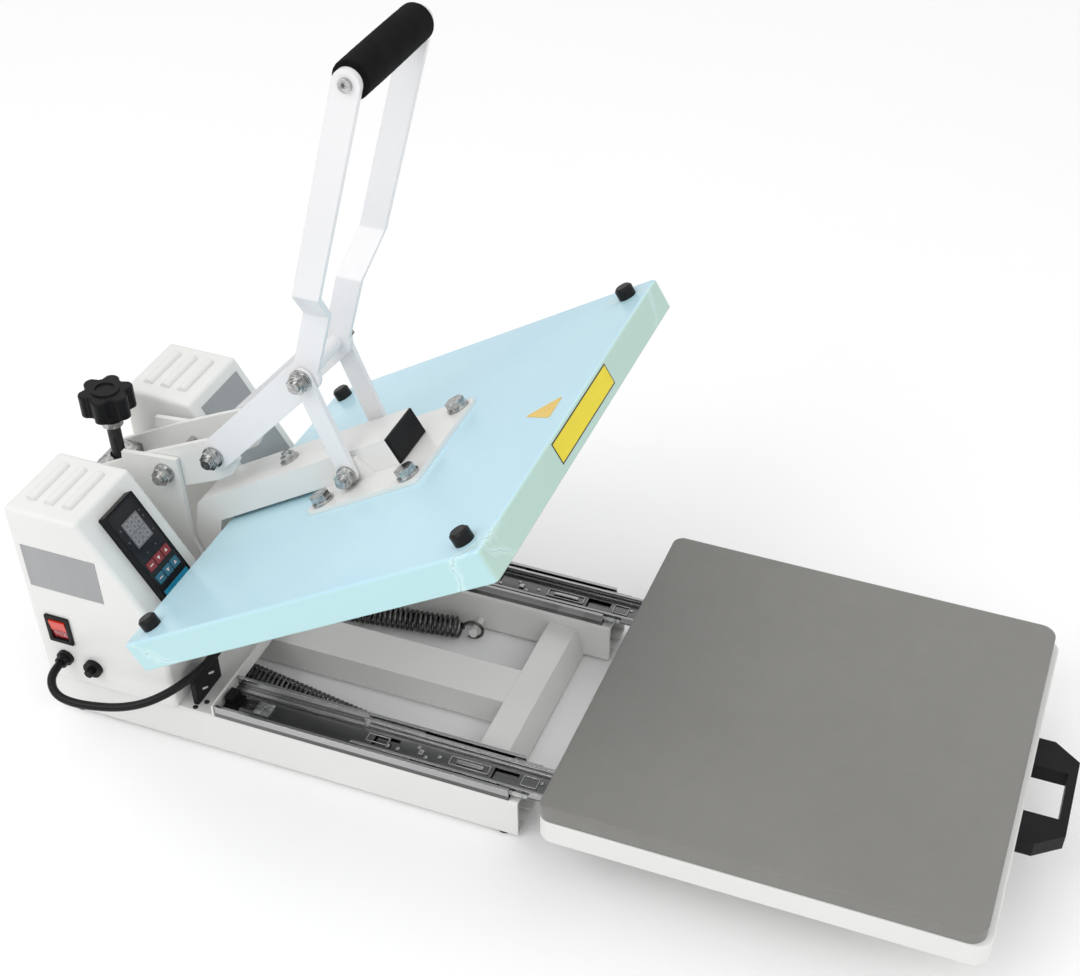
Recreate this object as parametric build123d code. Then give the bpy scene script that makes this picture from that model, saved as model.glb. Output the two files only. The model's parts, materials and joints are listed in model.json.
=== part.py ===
from build123d import *
import math
import os

# A clamshell heat press with a slide-out drawer, drawn with the drawer out and the platen open.
# Millimetres. +X runs to the side away from the controls, -Y is the front that the drawer
# slides out of, +Z is up. The origin is on the floor under the middle of the whole outline.
# "near" is the control side (-X) and "far" is the other side (+X).

# ---- driving dimensions ----
PAD = 380.0  # the square silicone pad that the work lies on
PAD_THICK = 18.4
PAD_TOP = 107.0
PAD_FRONT_R, PAD_REAR_R, PAD_EDGE_R = 14.0, 10.0, 2.5
DRAWER_TRAVEL = 305.0
DRAWER_REAR = -45.0  # rear edge of the pad with the drawer out
FRONT = -470.0  # front of the drawer's handle
REAR = 470.0  # rear of the deck
OUTLINE_MIDDLE = 3.2  # y of the middle of the outline, which each file is moved back by

RAIL_OUT = 146.0  # outer face of a side rail, from the middle
RAIL_IN = 98.0
RAIL_BOTTOM = 3.0  # the feet lift the frame by this
RAIL_TOP = 46.0
RAIL_FRONT = -9.0
SHEET = 2.0

SLIDE_WIDTH = 45.0
SLIDE_HEIGHT = 12.7
SLIDE_LENGTH = 292.0
SLIDE_MID_LENGTH = 280.0
SLIDE_X = 122.5  # middle of each telescopic slide

DECK_FRONT = 293.0
DECK_TOP = 48.0
BOX_TOP = 247.0
BOX_REAR = 467.0
GUIDE_X = (-139.0, -97.0)  # the cable guide, standing on the deck before the control box
GUIDE_FRONT, GUIDE_THICK, GUIDE_TOP, GUIDE_R = 313.0, 5.0, 80.5, 11.0

# Pivots, as (y, z), with the press open.
PIVOT_ARM = (367.6, 64.6)
PIVOT_LEVER = (380.5, 224.0)
PIVOT_HANDLE = (325.1, 257.2)
PIVOT_TOGGLE = (222.7, 367.5)
OPEN_TILT = 31.739  # how far the platen arm turns back from level

# Pieces side by side across the linkage, as distances from the middle.
TUBE_HALF = 25.0
LEVER_IN, LEVER_OUT = 21.0, 26.0
BAR_IN, BAR_OUT = 26.5, 31.5
STRUT_IN, STRUT_OUT = 32.0, 37.0
STRUT_R = 9.0
BOLT_R = 5.0
RUN_FIT = 0.05  # radial clearance of a pin that turns

# The platen arm, with the press closed: the pad side faces down and the tube lies level.
PLATEN_REAR = 275.1
PLATEN_LENGTH = 394.0
PLATEN_HALF_WIDTH = 204.0
PLATEN_GAP = 0.4  # what is left over the pad when closed
COVER_TOP = PAD_TOP + 31.0
BRACKET_THICK = 4.0
TUBE_BOTTOM = COVER_TOP + BRACKET_THICK
TUBE_TOP = TUBE_BOTTOM + 25.5
STRUT_PIVOT_CLOSED = (103.1, 151.9)


# ---- helpers ----
def slab(x0, x1, y0, y1, z0, z1):
    """A block between two corners."""
    return Pos((x0 + x1) / 2, (y0 + y1) / 2, (z0 + z1) / 2) * Box(x1 - x0, y1 - y0, z1 - z0)


def rod_x(at, radius, x0, x1):
    """A round bar along X through a (y, z) point."""
    return Pos((x0 + x1) / 2, at[0], at[1]) * Rot(0, 90, 0) * Cylinder(radius, x1 - x0)


def rod_y(x, z, radius, y0, y1):
    """A round bar along Y."""
    return Pos(x, (y0 + y1) / 2, z) * Rot(90, 0, 0) * Cylinder(radius, y1 - y0)


def rod_z(x, y, radius, z0, z1):
    """A round bar along Z."""
    return Pos(x, y, (z0 + z1) / 2) * Cylinder(radius, z1 - z0)


def plate_x(outline, x0, x1):
    """A flat plate square to X, from its outline in (y, z)."""
    face = Plane.YZ * make_face(Polyline(*outline, close=True))
    return Pos(min(x0, x1), 0, 0) * extrude(face, amount=abs(x1 - x0))


def link_plate(start, end, radius, x0, x1):
    """A flat bar square to X with a round end about each of two (y, z) points."""
    dy, dz = end[0] - start[0], end[1] - start[1]
    length = math.hypot(dy, dz)
    ny, nz = -dz / length * radius, dy / length * radius
    body = plate_x(
        [
            (start[0] + ny, start[1] + nz),
            (start[0] - ny, start[1] - nz),
            (end[0] - ny, end[1] - nz),
            (end[0] + ny, end[1] + nz),
        ],
        x0,
        x1,
    )
    return body + rod_x(start, radius, x0, x1) + rod_x(end, radius, x0, x1)


def hexagon_x(at, across_flats, x0, x1):
    """A hexagonal bar along X."""
    corner = across_flats / math.sqrt(3)
    outline = [
        (at[0] + corner * math.cos(math.radians(60 * k)), at[1] + corner * math.sin(math.radians(60 * k)))
        for k in range(6)
    ]
    return plate_x(outline, x0, x1)


def far_of(shape):
    """The same shape on the far side."""
    return mirror(shape, about=Plane.YZ)


def pair(shape):
    """A shape and its mirror image on the far side."""
    return Compound(children=[shape, far_of(shape)])


def opened(shape):
    """Turns a piece of the platen arm from its closed place to its open place."""
    here = Pos(0, *PIVOT_ARM)
    return here * Rot(-OPEN_TILT, 0, 0) * here.inverse() * shape


def turned(point, centre, degrees):
    """A (y, z) point turned about another, from +Y towards +Z."""
    turn = math.radians(degrees)
    dy, dz = point[0] - centre[0], point[1] - centre[1]
    return (
        centre[0] + dy * math.cos(turn) - dz * math.sin(turn),
        centre[1] + dy * math.sin(turn) + dz * math.cos(turn),
    )


def save(name, shape):
    """Writes one sub-part, with the origin under the middle of the outline."""
    export_step(Pos(0, -OUTLINE_MIDDLE, 0) * shape, f"parts/{name}.step")


KNOB_Y = 452.0
KNOB_NECK = 246.0
KNOB_HIGH = 31.0
ROD_R = 6.5
ROD_TOP = 268.0
SPACER_R = 6.5  # round piece between the handle bars at the toggle
PIVOT_STRUT = turned(STRUT_PIVOT_CLOSED, PIVOT_ARM, -OPEN_TILT)
SPRING_ANCHOR = (362.0, 14.6)
SPRING_REAR_X, SPRING_FRONT_X = 48.0, 82.0
SPRING_REAR_GAP, SPRING_FRONT_GAP = 25.0, 16.0  # from the hooked rods to the coil's ends
COIL_R, WIRE_R, RING_R = 11.6, 1.8, 8.8
HOOK_SLACK = 2.0  # from a hooked rod's middle to its ring's middle
SPRING_STUD = (130.0, 12.5)


# ---- base frame ----
def side_rail():
    """The near rail: a bent channel, open underneath, with the spring's stud on its inner web."""
    front, rear = RAIL_FRONT, REAR - 3
    rail = slab(-RAIL_OUT, -RAIL_IN, front, rear, RAIL_BOTTOM, RAIL_TOP)
    rail = fillet(rail.edges().filter_by(Axis.Y).group_by(Axis.Z)[-1], 3)
    inside = slab(-RAIL_OUT + SHEET, -RAIL_IN - SHEET, front - 1, rear + 1, RAIL_BOTTOM + SHEET, RAIL_TOP - SHEET)
    mouth = slab(-RAIL_OUT + 16, -RAIL_IN - 16, front - 1, rear + 1, RAIL_BOTTOM - 1, RAIL_BOTTOM + SHEET + 1)
    stud = rod_x(SPRING_STUD, 3.6, -RAIL_IN, -RAIL_IN + 22) + rod_x(SPRING_STUD, 4.8, -RAIL_IN + 19, -RAIL_IN + 22)
    return rail - inside - mouth + stud


def centre_beam():
    """The box beam down the middle, welded to a cross plate with a way through for each spring."""
    beam = slab(-23, 23, 55, 322, RAIL_BOTTOM, 35)
    beam -= slab(-21, 21, 54, 323, RAIL_BOTTOM + SHEET, 33)
    cross = slab(-RAIL_IN, RAIL_IN, 322, 326, RAIL_BOTTOM, RAIL_TOP)
    way = slab(-78, -34, 321, 327, RAIL_BOTTOM - 1, 36)
    return beam + cross - way - far_of(way)


def front_cross_member():
    """A bent strip between the rails: a level flange behind and a sloping front."""
    outer = [(18, RAIL_BOTTOM), (26, 35), (55, 35), (55, 33), (27.6, 33), (20.1, RAIL_BOTTOM)]
    return plate_x(outer, -RAIL_IN, RAIL_IN)


def rear_deck():
    """The plate over the rails that carries the two boxes, with a raised front lip and a slot."""
    deck = slab(-RAIL_OUT, RAIL_OUT, DECK_FRONT, REAR - 1, RAIL_TOP, DECK_TOP)
    lip = slab(-RAIL_OUT, RAIL_OUT, DECK_FRONT, DECK_FRONT + SHEET, RAIL_TOP, 60)
    slot = slab(-24, 24, 332, 412, RAIL_TOP - 1, DECK_TOP + 1)
    boss = rod_z(0, KNOB_Y, 13, DECK_TOP, DECK_TOP + 12)
    bore = rod_z(0, KNOB_Y, ROD_R + RUN_FIT, DECK_TOP + 0.2, DECK_TOP + 13)
    return deck + lip - slot + boss - bore


def rubber_feet():
    """Four feet under the rails."""
    feet = []
    for x in (-RAIL_OUT + 8, RAIL_OUT - 8):
        for y in (6, REAR - 24):
            feet.append(rod_z(x, y, 7.5, 0, RAIL_BOTTOM))
    return Compound(children=feet)


def build_base():
    """Rails, beam, cross member, deck and feet."""
    rail = side_rail()
    save("side_rail_near", rail)
    save("side_rail_far", far_of(rail))
    save("centre_beam", centre_beam())
    save("front_cross_member", front_cross_member())
    save("rear_deck", rear_deck())
    save("rubber_feet", rubber_feet())


# ---- telescopic slides ----
def channel(x_half, web_z, wall_top, lip, y0, y1, gauge=1.4):
    """A slide's open channel about X = 0: a web at the bottom and two lipped walls."""
    web = slab(-x_half, x_half, y0, y1, web_z, web_z + gauge)
    wall = slab(x_half - gauge, x_half, y0, y1, web_z, wall_top)
    curl = slab(x_half - lip, x_half, y0, y1, wall_top - gauge, wall_top)
    side = wall + curl
    return web + side + mirror(side, about=Plane.YZ)


def slide_outer():
    """The member that is screwed to the rail, with its mounting holes and pressed windows."""
    outer = channel(SLIDE_WIDTH / 2, RAIL_TOP, RAIL_TOP + SLIDE_HEIGHT, 3.2, 0, SLIDE_LENGTH)
    for y in (35, 128, 262):
        outer -= rod_z(0, y, 2.4, RAIL_TOP - 1, RAIL_TOP + 3)
    return Pos(-SLIDE_X, 0, 0) * outer


def slide_middle():
    """The ball-carried middle member, half way out, with its pressed windows and end hole."""
    rear = 157.0
    front = rear - SLIDE_MID_LENGTH
    middle = channel(16.6, RAIL_TOP + 3.4, RAIL_TOP + 11.6, 2.6, front, rear)
    for y in (front + 22, 0, rear - 40):
        middle -= slab(-7, 7, y, y + 24, RAIL_TOP + 3, RAIL_TOP + 6)
    middle -= rod_z(0, -32, 2.4, RAIL_TOP + 3, RAIL_TOP + 6)
    balls = [front + 12, front + 60, rear - 96, rear - 72, rear - 48, rear - 24]
    for y in balls:
        for x in (-18.6, 18.6):
            middle += slab(min(x, x * 0.88), max(x, x * 0.88), y - 3, y + 9, RAIL_TOP + 5, RAIL_TOP + 8.4)
    return Pos(-SLIDE_X, 0, 0) * middle


def slide_inner():
    """The member under the tray: its web is on top, and it rides inside the middle one."""
    rear = DRAWER_REAR - 1
    front = rear - 288.0
    web = slab(-11.5, 11.5, front, rear, RAIL_TOP + 11.5, RAIL_TOP + SLIDE_HEIGHT)
    wall = slab(10.1, 11.5, front, rear, RAIL_TOP + 6, RAIL_TOP + SLIDE_HEIGHT)
    inner = web + wall + mirror(wall, about=Plane.YZ)
    return Pos(-SLIDE_X, 0, 0) * inner


def slide_bumper():
    """The plastic stop block at the rear of a slide."""
    base = slab(-SLIDE_X - 9, -SLIDE_X + 9, 277, 290, RAIL_TOP + 1.4, RAIL_TOP + 3.2)
    stop = slab(-SLIDE_X - 7, -SLIDE_X + 7, 281, 290, RAIL_TOP + 3.2, RAIL_TOP + 12)
    return base + stop


def slide_clip():
    """The plate with two screws that holds the bumper and the slide down."""
    plate = slab(-SLIDE_X - 8, -SLIDE_X + 8, 245, 276.5, RAIL_TOP + 1.3, RAIL_TOP + 2.6)
    screws = [rod_z(-SLIDE_X, y, 4, RAIL_TOP + 2.6, RAIL_TOP + 3.1) for y in (253, 268)]
    return plate + screws[0] + screws[1]


def build_slides():
    """Both telescopic slides and their rear bumpers."""
    save("slide_outers", pair(slide_outer() + slide_clip()))
    save("slide_middles", pair(slide_middle()))
    save("slide_inners", pair(slide_inner()))
    save("slide_bumpers", pair(slide_bumper()))


# ---- drawer ----
TRAY_HALF = PAD / 2 + 1
TRAY_FRONT = DRAWER_REAR - PAD - 6
TRAY_REAR = DRAWER_REAR + 1
TRAY_TOP = PAD_TOP - PAD_THICK
TRAY_BOTTOM = 65.0


def rounded_block(x_half, y0, y1, z0, z1, radius):
    """A block about X = 0 with its four upright edges rounded."""
    block = slab(-x_half, x_half, y0, y1, z0, z1)
    return fillet(block.edges().filter_by(Axis.Z), radius)


def tray_pan():
    """The folded tray, and the two top-hat rails under it that sit on the slides."""
    pan = rounded_block(TRAY_HALF, TRAY_FRONT, TRAY_REAR, TRAY_BOTTOM, TRAY_TOP, 14)
    pan = fillet(pan.edges().group_by(Axis.Z)[-1], 1.5)
    pan -= rounded_block(TRAY_HALF - SHEET, TRAY_FRONT + SHEET, TRAY_REAR - SHEET, TRAY_BOTTOM - 1, TRAY_TOP - SHEET, 12)
    hat_bottom = RAIL_TOP + SLIDE_HEIGHT
    hat = slab(-SLIDE_X - 15, -SLIDE_X + 15, TRAY_FRONT + 60, TRAY_REAR - 4, hat_bottom, TRAY_BOTTOM)
    hat -= slab(-SLIDE_X - 13, -SLIDE_X + 13, TRAY_FRONT + 59, TRAY_REAR - 3, hat_bottom + SHEET, TRAY_BOTTOM - SHEET)
    floor = slab(-TRAY_HALF + 6, TRAY_HALF - 6, TRAY_FRONT + 6, TRAY_REAR - 3, TRAY_BOTTOM, TRAY_BOTTOM + SHEET)
    return pan + floor + hat + far_of(hat)


def silicone_pad():
    """The thick grey pad, with round corners and a soft top edge."""
    pad = slab(-PAD / 2, PAD / 2, DRAWER_REAR - PAD, DRAWER_REAR, TRAY_TOP, PAD_TOP)
    pad = fillet(pad.edges().filter_by(Axis.Z).group_by(Axis.Y)[0], PAD_FRONT_R)
    pad = fillet(pad.edges().filter_by(Axis.Z).group_by(Axis.Y)[-1], PAD_REAR_R)
    return fillet(pad.edges().group_by(Axis.Z)[-1], PAD_EDGE_R)


def drawer_handle():
    """The moulded pull: a tapered U that is hollow underneath, with two screws from inside."""
    top, bottom = 83.0, 67.0
    root, tip = TRAY_FRONT, FRONT
    outline = [(-63, root), (63, root), (63, root - 15), (45, tip), (-45, tip), (-63, root - 15)]
    face = make_face(Polyline(*outline, close=True))
    body = Pos(0, 0, bottom) * extrude(face, amount=top - bottom)
    opening = [(-28, root + 1), (28, root + 1), (28, tip + 8), (-28, tip + 8)]
    body -= Pos(0, 0, bottom - 1) * extrude(make_face(Polyline(*opening, close=True)), amount=top - bottom + 2)
    hollow = [(32, root - 4), (58.5, root - 4), (58.5, root - 14), (44, tip + 5), (32, tip + 5)]
    leg = Pos(0, 0, bottom - 1) * extrude(make_face(Polyline(*hollow, close=True)), amount=top - bottom - 2)
    return body - leg - far_of(leg)


def build_drawer():
    """The tray with its pad and pull."""
    save("tray_pan", tray_pan())
    board = rounded_block(TRAY_HALF - 6.5, TRAY_FRONT + 6.5, TRAY_REAR - 3.5, TRAY_BOTTOM + SHEET, TRAY_TOP - SHEET, 8)
    save("tray_board", board)
    save("silicone_pad", silicone_pad())
    save("drawer_handle", drawer_handle())


# ---- the two boxes ----
SLOPE_TOP = (395.0, BOX_TOP)
SLOPE_FOOT = (330.0, 141.0)
SLOPE_ANGLE = math.degrees(math.atan2(SLOPE_TOP[0] - SLOPE_FOOT[0], SLOPE_TOP[1] - SLOPE_FOOT[1]))
NEAR_BOX = (-150.0, -62.0)
FAR_BOX = (42.0, 130.0)


def box_cover(x0, x1):
    """A sheet cover with a sloping front, open underneath, with three pressed louvres on top."""
    outline = [(BOX_REAR, DECK_TOP), (BOX_REAR, BOX_TOP), SLOPE_TOP, SLOPE_FOOT, (SLOPE_FOOT[0], DECK_TOP)]
    cover = plate_x(outline, x0, x1)
    sharp = [e for e in cover.edges() if e.center().Z > DECK_TOP + 1]
    cover = fillet(sharp, 5)
    wall = 1.6
    inner = [
        (BOX_REAR - wall, DECK_TOP - 1),
        (BOX_REAR - wall, BOX_TOP - wall),
        (SLOPE_TOP[0] + 1.1, BOX_TOP - wall),
        (SLOPE_FOOT[0] + wall, SLOPE_FOOT[1] - 0.6),
        (SLOPE_FOOT[0] + wall, DECK_TOP - 1),
    ]
    hollow = plate_x(inner, x0 + wall, x1 - wall)
    hollow = fillet([e for e in hollow.edges() if e.center().Z > DECK_TOP + 1], 3.8)
    cover -= hollow
    for y in (413, 431, 449):
        louvre = Pos((x0 + x1) / 2, y, BOX_TOP - 1.2) * Rot(0, 90, 0) * Cylinder(5, (x1 - x0) * 0.6)
        cover += louvre & slab(x0, x1, y - 8, y + 8, BOX_TOP - 1.4, BOX_TOP + 4)
    return cover


def on_slope(x, along, shape):
    """Moves a piece drawn on XY to a point on the boxes' sloping front, facing out of it."""
    turn = math.radians(SLOPE_ANGLE)
    y = SLOPE_FOOT[0] + along * math.sin(turn)
    z = SLOPE_FOOT[1] + along * math.cos(turn)
    return Pos(x, y, z) * Rot(90 - SLOPE_ANGLE, 0, 0) * shape


BEZEL = (44.0, 95.0, 8.0)
BEZEL_RIM = 2.3
FACE_DEEP = 1.0
WINDOW = (24.0, 27.0, 0.4)
WINDOW_UP = 19.2  # from the middle of the face
KEY = (10.2, 8.6, 2.0)
KEY_PITCH = 11.6
KEY_ROWS = (-12.5, -26.5)
KEY_GAP = 0.4
CONTROLLER_X, CONTROLLER_ALONG = -104.0, 64.0


def controller():
    """The temperature controller's frame, its face with a raised window, and its six keys.

    They are drawn lying flat, each key in a pocket that it can sink into.
    """
    wide, tall, deep = BEZEL
    body = Pos(0, 0, deep / 2) * Box(wide, tall, deep)
    body = fillet(body.edges().filter_by(Axis.Z), 1.5)
    inner_wide, inner_tall = wide - 2 * BEZEL_RIM, tall - 2 * BEZEL_RIM
    bezel = body - Pos(0, 0, deep - FACE_DEEP / 2) * Box(inner_wide, inner_tall, FACE_DEEP)
    face_thick = FACE_DEEP * 0.8
    face = Pos(0, 0, deep - FACE_DEEP + face_thick / 2) * Box(inner_wide - 0.2, inner_tall - 0.2, face_thick)
    face += Pos(0, WINDOW_UP, deep) * Box(*WINDOW)
    keys = []
    for y in KEY_ROWS:
        for x in (-KEY_PITCH, 0, KEY_PITCH):
            pocket = Pos(x, y, deep - 1.3) * Box(KEY[0] + 2 * KEY_GAP, KEY[1] + 2 * KEY_GAP, 3)
            bezel -= pocket
            face -= pocket
            keys.append(Pos(x, y, deep + 0.2 - KEY[2] / 2) * Box(*KEY))
    return bezel, face, keys


ROCKER_AT = (440.0, 112.0)
GLAND_AT = (441.0, 77.0)
BREAKER_AT = (412.0, 73.0)
GLAND_LONG = 10.0


def rocker():
    """The mains rocker switch in its frame on the near side. The switch turns about Y."""
    x = NEAR_BOX[0]
    y, z = ROCKER_AT
    frame = slab(x - 2.2, x, y - 12.5, y + 12.5, z - 16, z + 16)
    frame = fillet(frame.edges().filter_by(Axis.X), 1.5)
    frame -= slab(x - 3, x + 1, y - 8.6, y + 8.6, z - 12.1, z + 12.1)
    well = slab(x, x + 12, y - 10, y + 10, z - 13.5, z + 13.5)
    well -= slab(x - 1, x + 11, y - 8.6, y + 8.6, z - 12.1, z + 12.1)
    tilt = 9.0
    paddle = Pos(x + 1.2, y, z) * Rot(0, -tilt, 0) * Box(5.6, 16.4, 22.6)
    paddle += rod_y(x + 1.2, z, 3.2, y - 8.2, y + 8.2)
    return frame + well, paddle


def breaker():
    """A push-to-reset breaker: its collar and the button that pushes in."""
    x = NEAR_BOX[0]
    y, z = BREAKER_AT
    collar = rod_x((y, z), 9, x - 5, x) - rod_x((y, z), 4.4, x - 6, x + 1)
    collar += rod_x((y, z), 7.6, x, x + 9) - rod_x((y, z), 4.4, x - 1, x + 10)
    button = rod_x((y, z), 4.1, x - 11, x + 4)
    return collar, button


def cable_gland():
    """The strain relief that the platen's cable leaves through, pointing out of the near side."""
    x = NEAR_BOX[0]
    flange = rod_x(GLAND_AT, 8, x - 4, x)
    neck = rod_x(GLAND_AT, 6, x - GLAND_LONG, x + 8)
    return flange + neck


def build_boxes():
    """The control box, the box with the chart, and what is set into them."""
    x = NEAR_BOX[0]
    near = box_cover(*NEAR_BOX)
    near -= slab(x - 1, x + 3, ROCKER_AT[0] - 10.2, ROCKER_AT[0] + 10.2, ROCKER_AT[1] - 13.7, ROCKER_AT[1] + 13.7)
    near -= rod_x(BREAKER_AT, 7.7, x - 1, x + 3)
    near -= rod_x(GLAND_AT, 6, x - 1, x + 3)
    save("control_cover", near)
    save("chart_cover", box_cover(*FAR_BOX))
    bezel, face, keys = controller()
    save("controller_bezel", on_slope(CONTROLLER_X, CONTROLLER_ALONG, bezel))
    save("controller_face", on_slope(CONTROLLER_X, CONTROLLER_ALONG, face))
    for number, key in enumerate(keys, 1):
        save(f"controller_key_{number}", on_slope(CONTROLLER_X, CONTROLLER_ALONG, key))
    frame, paddle = rocker()
    save("rocker_frame", frame)
    save("rocker_switch", paddle)
    collar, button = breaker()
    save("breaker_collar", collar)
    save("breaker_button", button)
    save("cable_gland", cable_gland())
    side_plate = slab(x - 0.5, x, 383, 458, 161, 208)
    chart = on_slope((FAR_BOX[0] + FAR_BOX[1]) / 2, 62, Pos(0, 0, 0.25) * Box(66, 104, 0.5))
    save("blank_plates", Compound(children=[side_plate, chart]))
    guide = slab(*GUIDE_X, GUIDE_FRONT, GUIDE_FRONT + GUIDE_THICK, DECK_TOP, GUIDE_TOP)
    guide = fillet([e for e in guide.edges().filter_by(Axis.Y) if e.center().Z > DECK_TOP + 1], GUIDE_R)
    save("cable_guide", guide)


# ---- heater cable ----
CABLE_R = 4.0
INLET_X, INLET_HIGH = -46.0, PAD_TOP + 15.0
INLET_LONG = 8.0
# From the gland, out and forward round the control box, across its front and up behind the platen.
CABLE_ROUTE = [
    (-160, 441, 77),
    (-173.5, 441, 77),
    (-185.5, 435, 74),
    (-193, 424, 71),
    (-194.5, 408.5, 69.5),
    (-191.5, 388, 69),
    (-186, 364, 70.5),
    (-177.5, 343, 75),
    (-163.5, 326.5, 80.5),
    (-145, 314.5, 85.5),
    (-122, 307.5, 88.5),
    (-99, 307, 88),
    (-78, 313.5, 86.5),
    (-62.5, 325, 87.5),
    (-53, 337.5, 94.5),
    (-48, 346, 106),
    (-46.5, 349, 120),
    (-46, 347.5, 133.5),
    (-46, 343, 144.2),
    (-46, 335, 152.3),
    (-46, 326, 157.8),
]


def cable_radii(route):
    """The largest arc at each inner point that its two runs leave room for."""
    radii = []
    for before, here, after in zip(route, route[1:], route[2:]):
        run_in, run_out = Vector(*here) - Vector(*before), Vector(*after) - Vector(*here)
        half_turn = math.radians(run_in.get_angle(run_out)) / 2
        radii.append(0.45 * min(run_in.length, run_out.length) / math.tan(half_turn))
    return radii


def heater_cable():
    """The cable as one tube of straight runs joined by tangent arcs."""
    radii = cable_radii(CABLE_ROUTE)
    path = FilletPolyline(*CABLE_ROUTE, radius=radii)
    start = Plane(origin=path @ 0, z_dir=path % 0)
    tube = sweep(start * Circle(CABLE_R), path=path)
    print("cable length", round(path.length, 1), "radii", [round(r, 1) for r in radii])
    print("cable volume over section times length", round(tube.volume / (math.pi * CABLE_R**2 * path.length), 4))
    return tube


# ---- fixed linkage plates ----
def upright():
    """The near triangular plate that stands on the deck and carries both fixed pivots."""
    outline = [(366, 242), (424, 236), (440, DECK_TOP), (340, DECK_TOP), (342, 92), (364, 150)]
    plate = plate_x(outline, -BAR_OUT, -BAR_IN)
    foot = slab(-BAR_OUT - 8, -BAR_OUT, 345, 435, DECK_TOP, DECK_TOP + 4)
    plate += foot
    return plate - rod_x(PIVOT_ARM, 8, -60, 60) - rod_x(PIVOT_LEVER, BOLT_R, -60, 60)


def nut_and_washer(at, face_x, scale=1.0):
    """A washer, a locking nut and the bolt's end, standing out from a face towards -X."""
    washer = rod_x(at, 10 * scale, face_x - 2, face_x)
    nut = hexagon_x(at, 16 * scale, face_x - 9, face_x - 2)
    dome = rod_x(at, 7 * scale, face_x - 11, face_x - 9)
    end = rod_x(at, BOLT_R * scale, face_x - 14, face_x - 11)
    return washer + nut + dome + end


def head_and_washer(at, face_x, scale=1.0):
    """A washer and a bolt head, standing out from a face towards -X."""
    return rod_x(at, 10 * scale, face_x - 2, face_x) + hexagon_x(at, 16 * scale, face_x - 8, face_x - 2)


def through_bolt(at, face_x, scale=1.0):
    """A bolt right across the linkage, nut on the near side and head on the far side."""
    shank = rod_x(at, BOLT_R, -face_x, face_x)
    return shank + nut_and_washer(at, -face_x, scale) + far_of(head_and_washer(at, -face_x, scale))


def build_uprights():
    """The uprights with the arm's pin and the lever's bolt."""
    save("uprights", pair(upright()))
    pin = rod_x(PIVOT_ARM, 8, -BAR_OUT - 3, BAR_OUT + 3)
    caps = rod_x(PIVOT_ARM, 11, -BAR_OUT - 6, -BAR_OUT) + rod_x(PIVOT_ARM, 11, BAR_OUT, BAR_OUT + 6)
    save("main_pivot_pin", pin + caps)
    save("lever_pivot_bolt", through_bolt(PIVOT_LEVER, BAR_OUT))


# ---- pressure lever and knob ----
def lever_plate():
    """The near plate of the pressure lever: from the handle's pivot back to the screw."""
    outline = [
        (303, 255),
        (318, 276),
        (346, 263),
        (398, 238),
        (463, 203),
        (463, 178),
        (436, 178),
        (366, 209),
        (328, 226),
        (312, 237),
    ]
    plate = plate_x(outline, -LEVER_OUT, -LEVER_IN)
    plate -= rod_x(PIVOT_LEVER, BOLT_R + RUN_FIT, -60, 60)
    return plate - rod_x(PIVOT_HANDLE, BOLT_R, -60, 60)


def nut_block():
    """The block between the lever plates that the screw runs through, with room to tilt."""
    block = slab(-LEVER_IN, LEVER_IN, KNOB_Y - 12, KNOB_Y + 12, 185, 205)
    return block - rod_z(0, KNOB_Y, ROD_R + 1.8, 180, 210)


def pressure_knob():
    """A six-lobed star knob with a raised ring in the middle and a narrow neck."""
    bottom, top = KNOB_NECK + 9, KNOB_NECK + KNOB_HIGH
    body = rod_z(0, KNOB_Y, 19, bottom, top)
    for k in range(6):
        turn = math.radians(60 * k + 15)
        body += rod_z(17 * math.cos(turn), KNOB_Y + 17 * math.sin(turn), 8, bottom, top)
    for k in range(6):
        turn = math.radians(60 * k + 45)
        body -= rod_z(27 * math.cos(turn), KNOB_Y + 27 * math.sin(turn), 7.5, bottom - 1, top + 1)
    body = fillet(body.edges().group_by(Axis.Z)[-1], 2)
    body += rod_z(0, KNOB_Y, 12, KNOB_NECK, bottom)
    body += rod_z(0, KNOB_Y, 13, top, top + 1.5) - rod_z(0, KNOB_Y, 9, top, top + 2)
    return body - rod_z(0, KNOB_Y, ROD_R, KNOB_NECK - 1, ROD_TOP)


def build_pressure():
    """The lever that sets the pressure, its block, the handle's bolt, and the knob on its screw."""
    save("lever_plates", pair(lever_plate()))
    save("nut_block", nut_block())
    save("handle_pivot_bolt", through_bolt(PIVOT_HANDLE, BAR_OUT + 0.3))
    save("pressure_knob", pressure_knob())
    save("knob_rod", rod_z(0, KNOB_Y, ROD_R, DECK_TOP + 0.5, ROD_TOP))
    collar = rod_z(0, KNOB_Y, 10, KNOB_NECK - 7, KNOB_NECK)
    collar -= rod_z(0, KNOB_Y, ROD_R, KNOB_NECK - 8, KNOB_NECK + 1)
    save("knob_collar", collar)


# ---- handle ----
GRIP = (142.0, 648.0)
JOGGLE_LOW, JOGGLE_HIGH = 432.0, 466.0
GRIP_IN, GRIP_OUT = 57.0, 62.0


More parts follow.
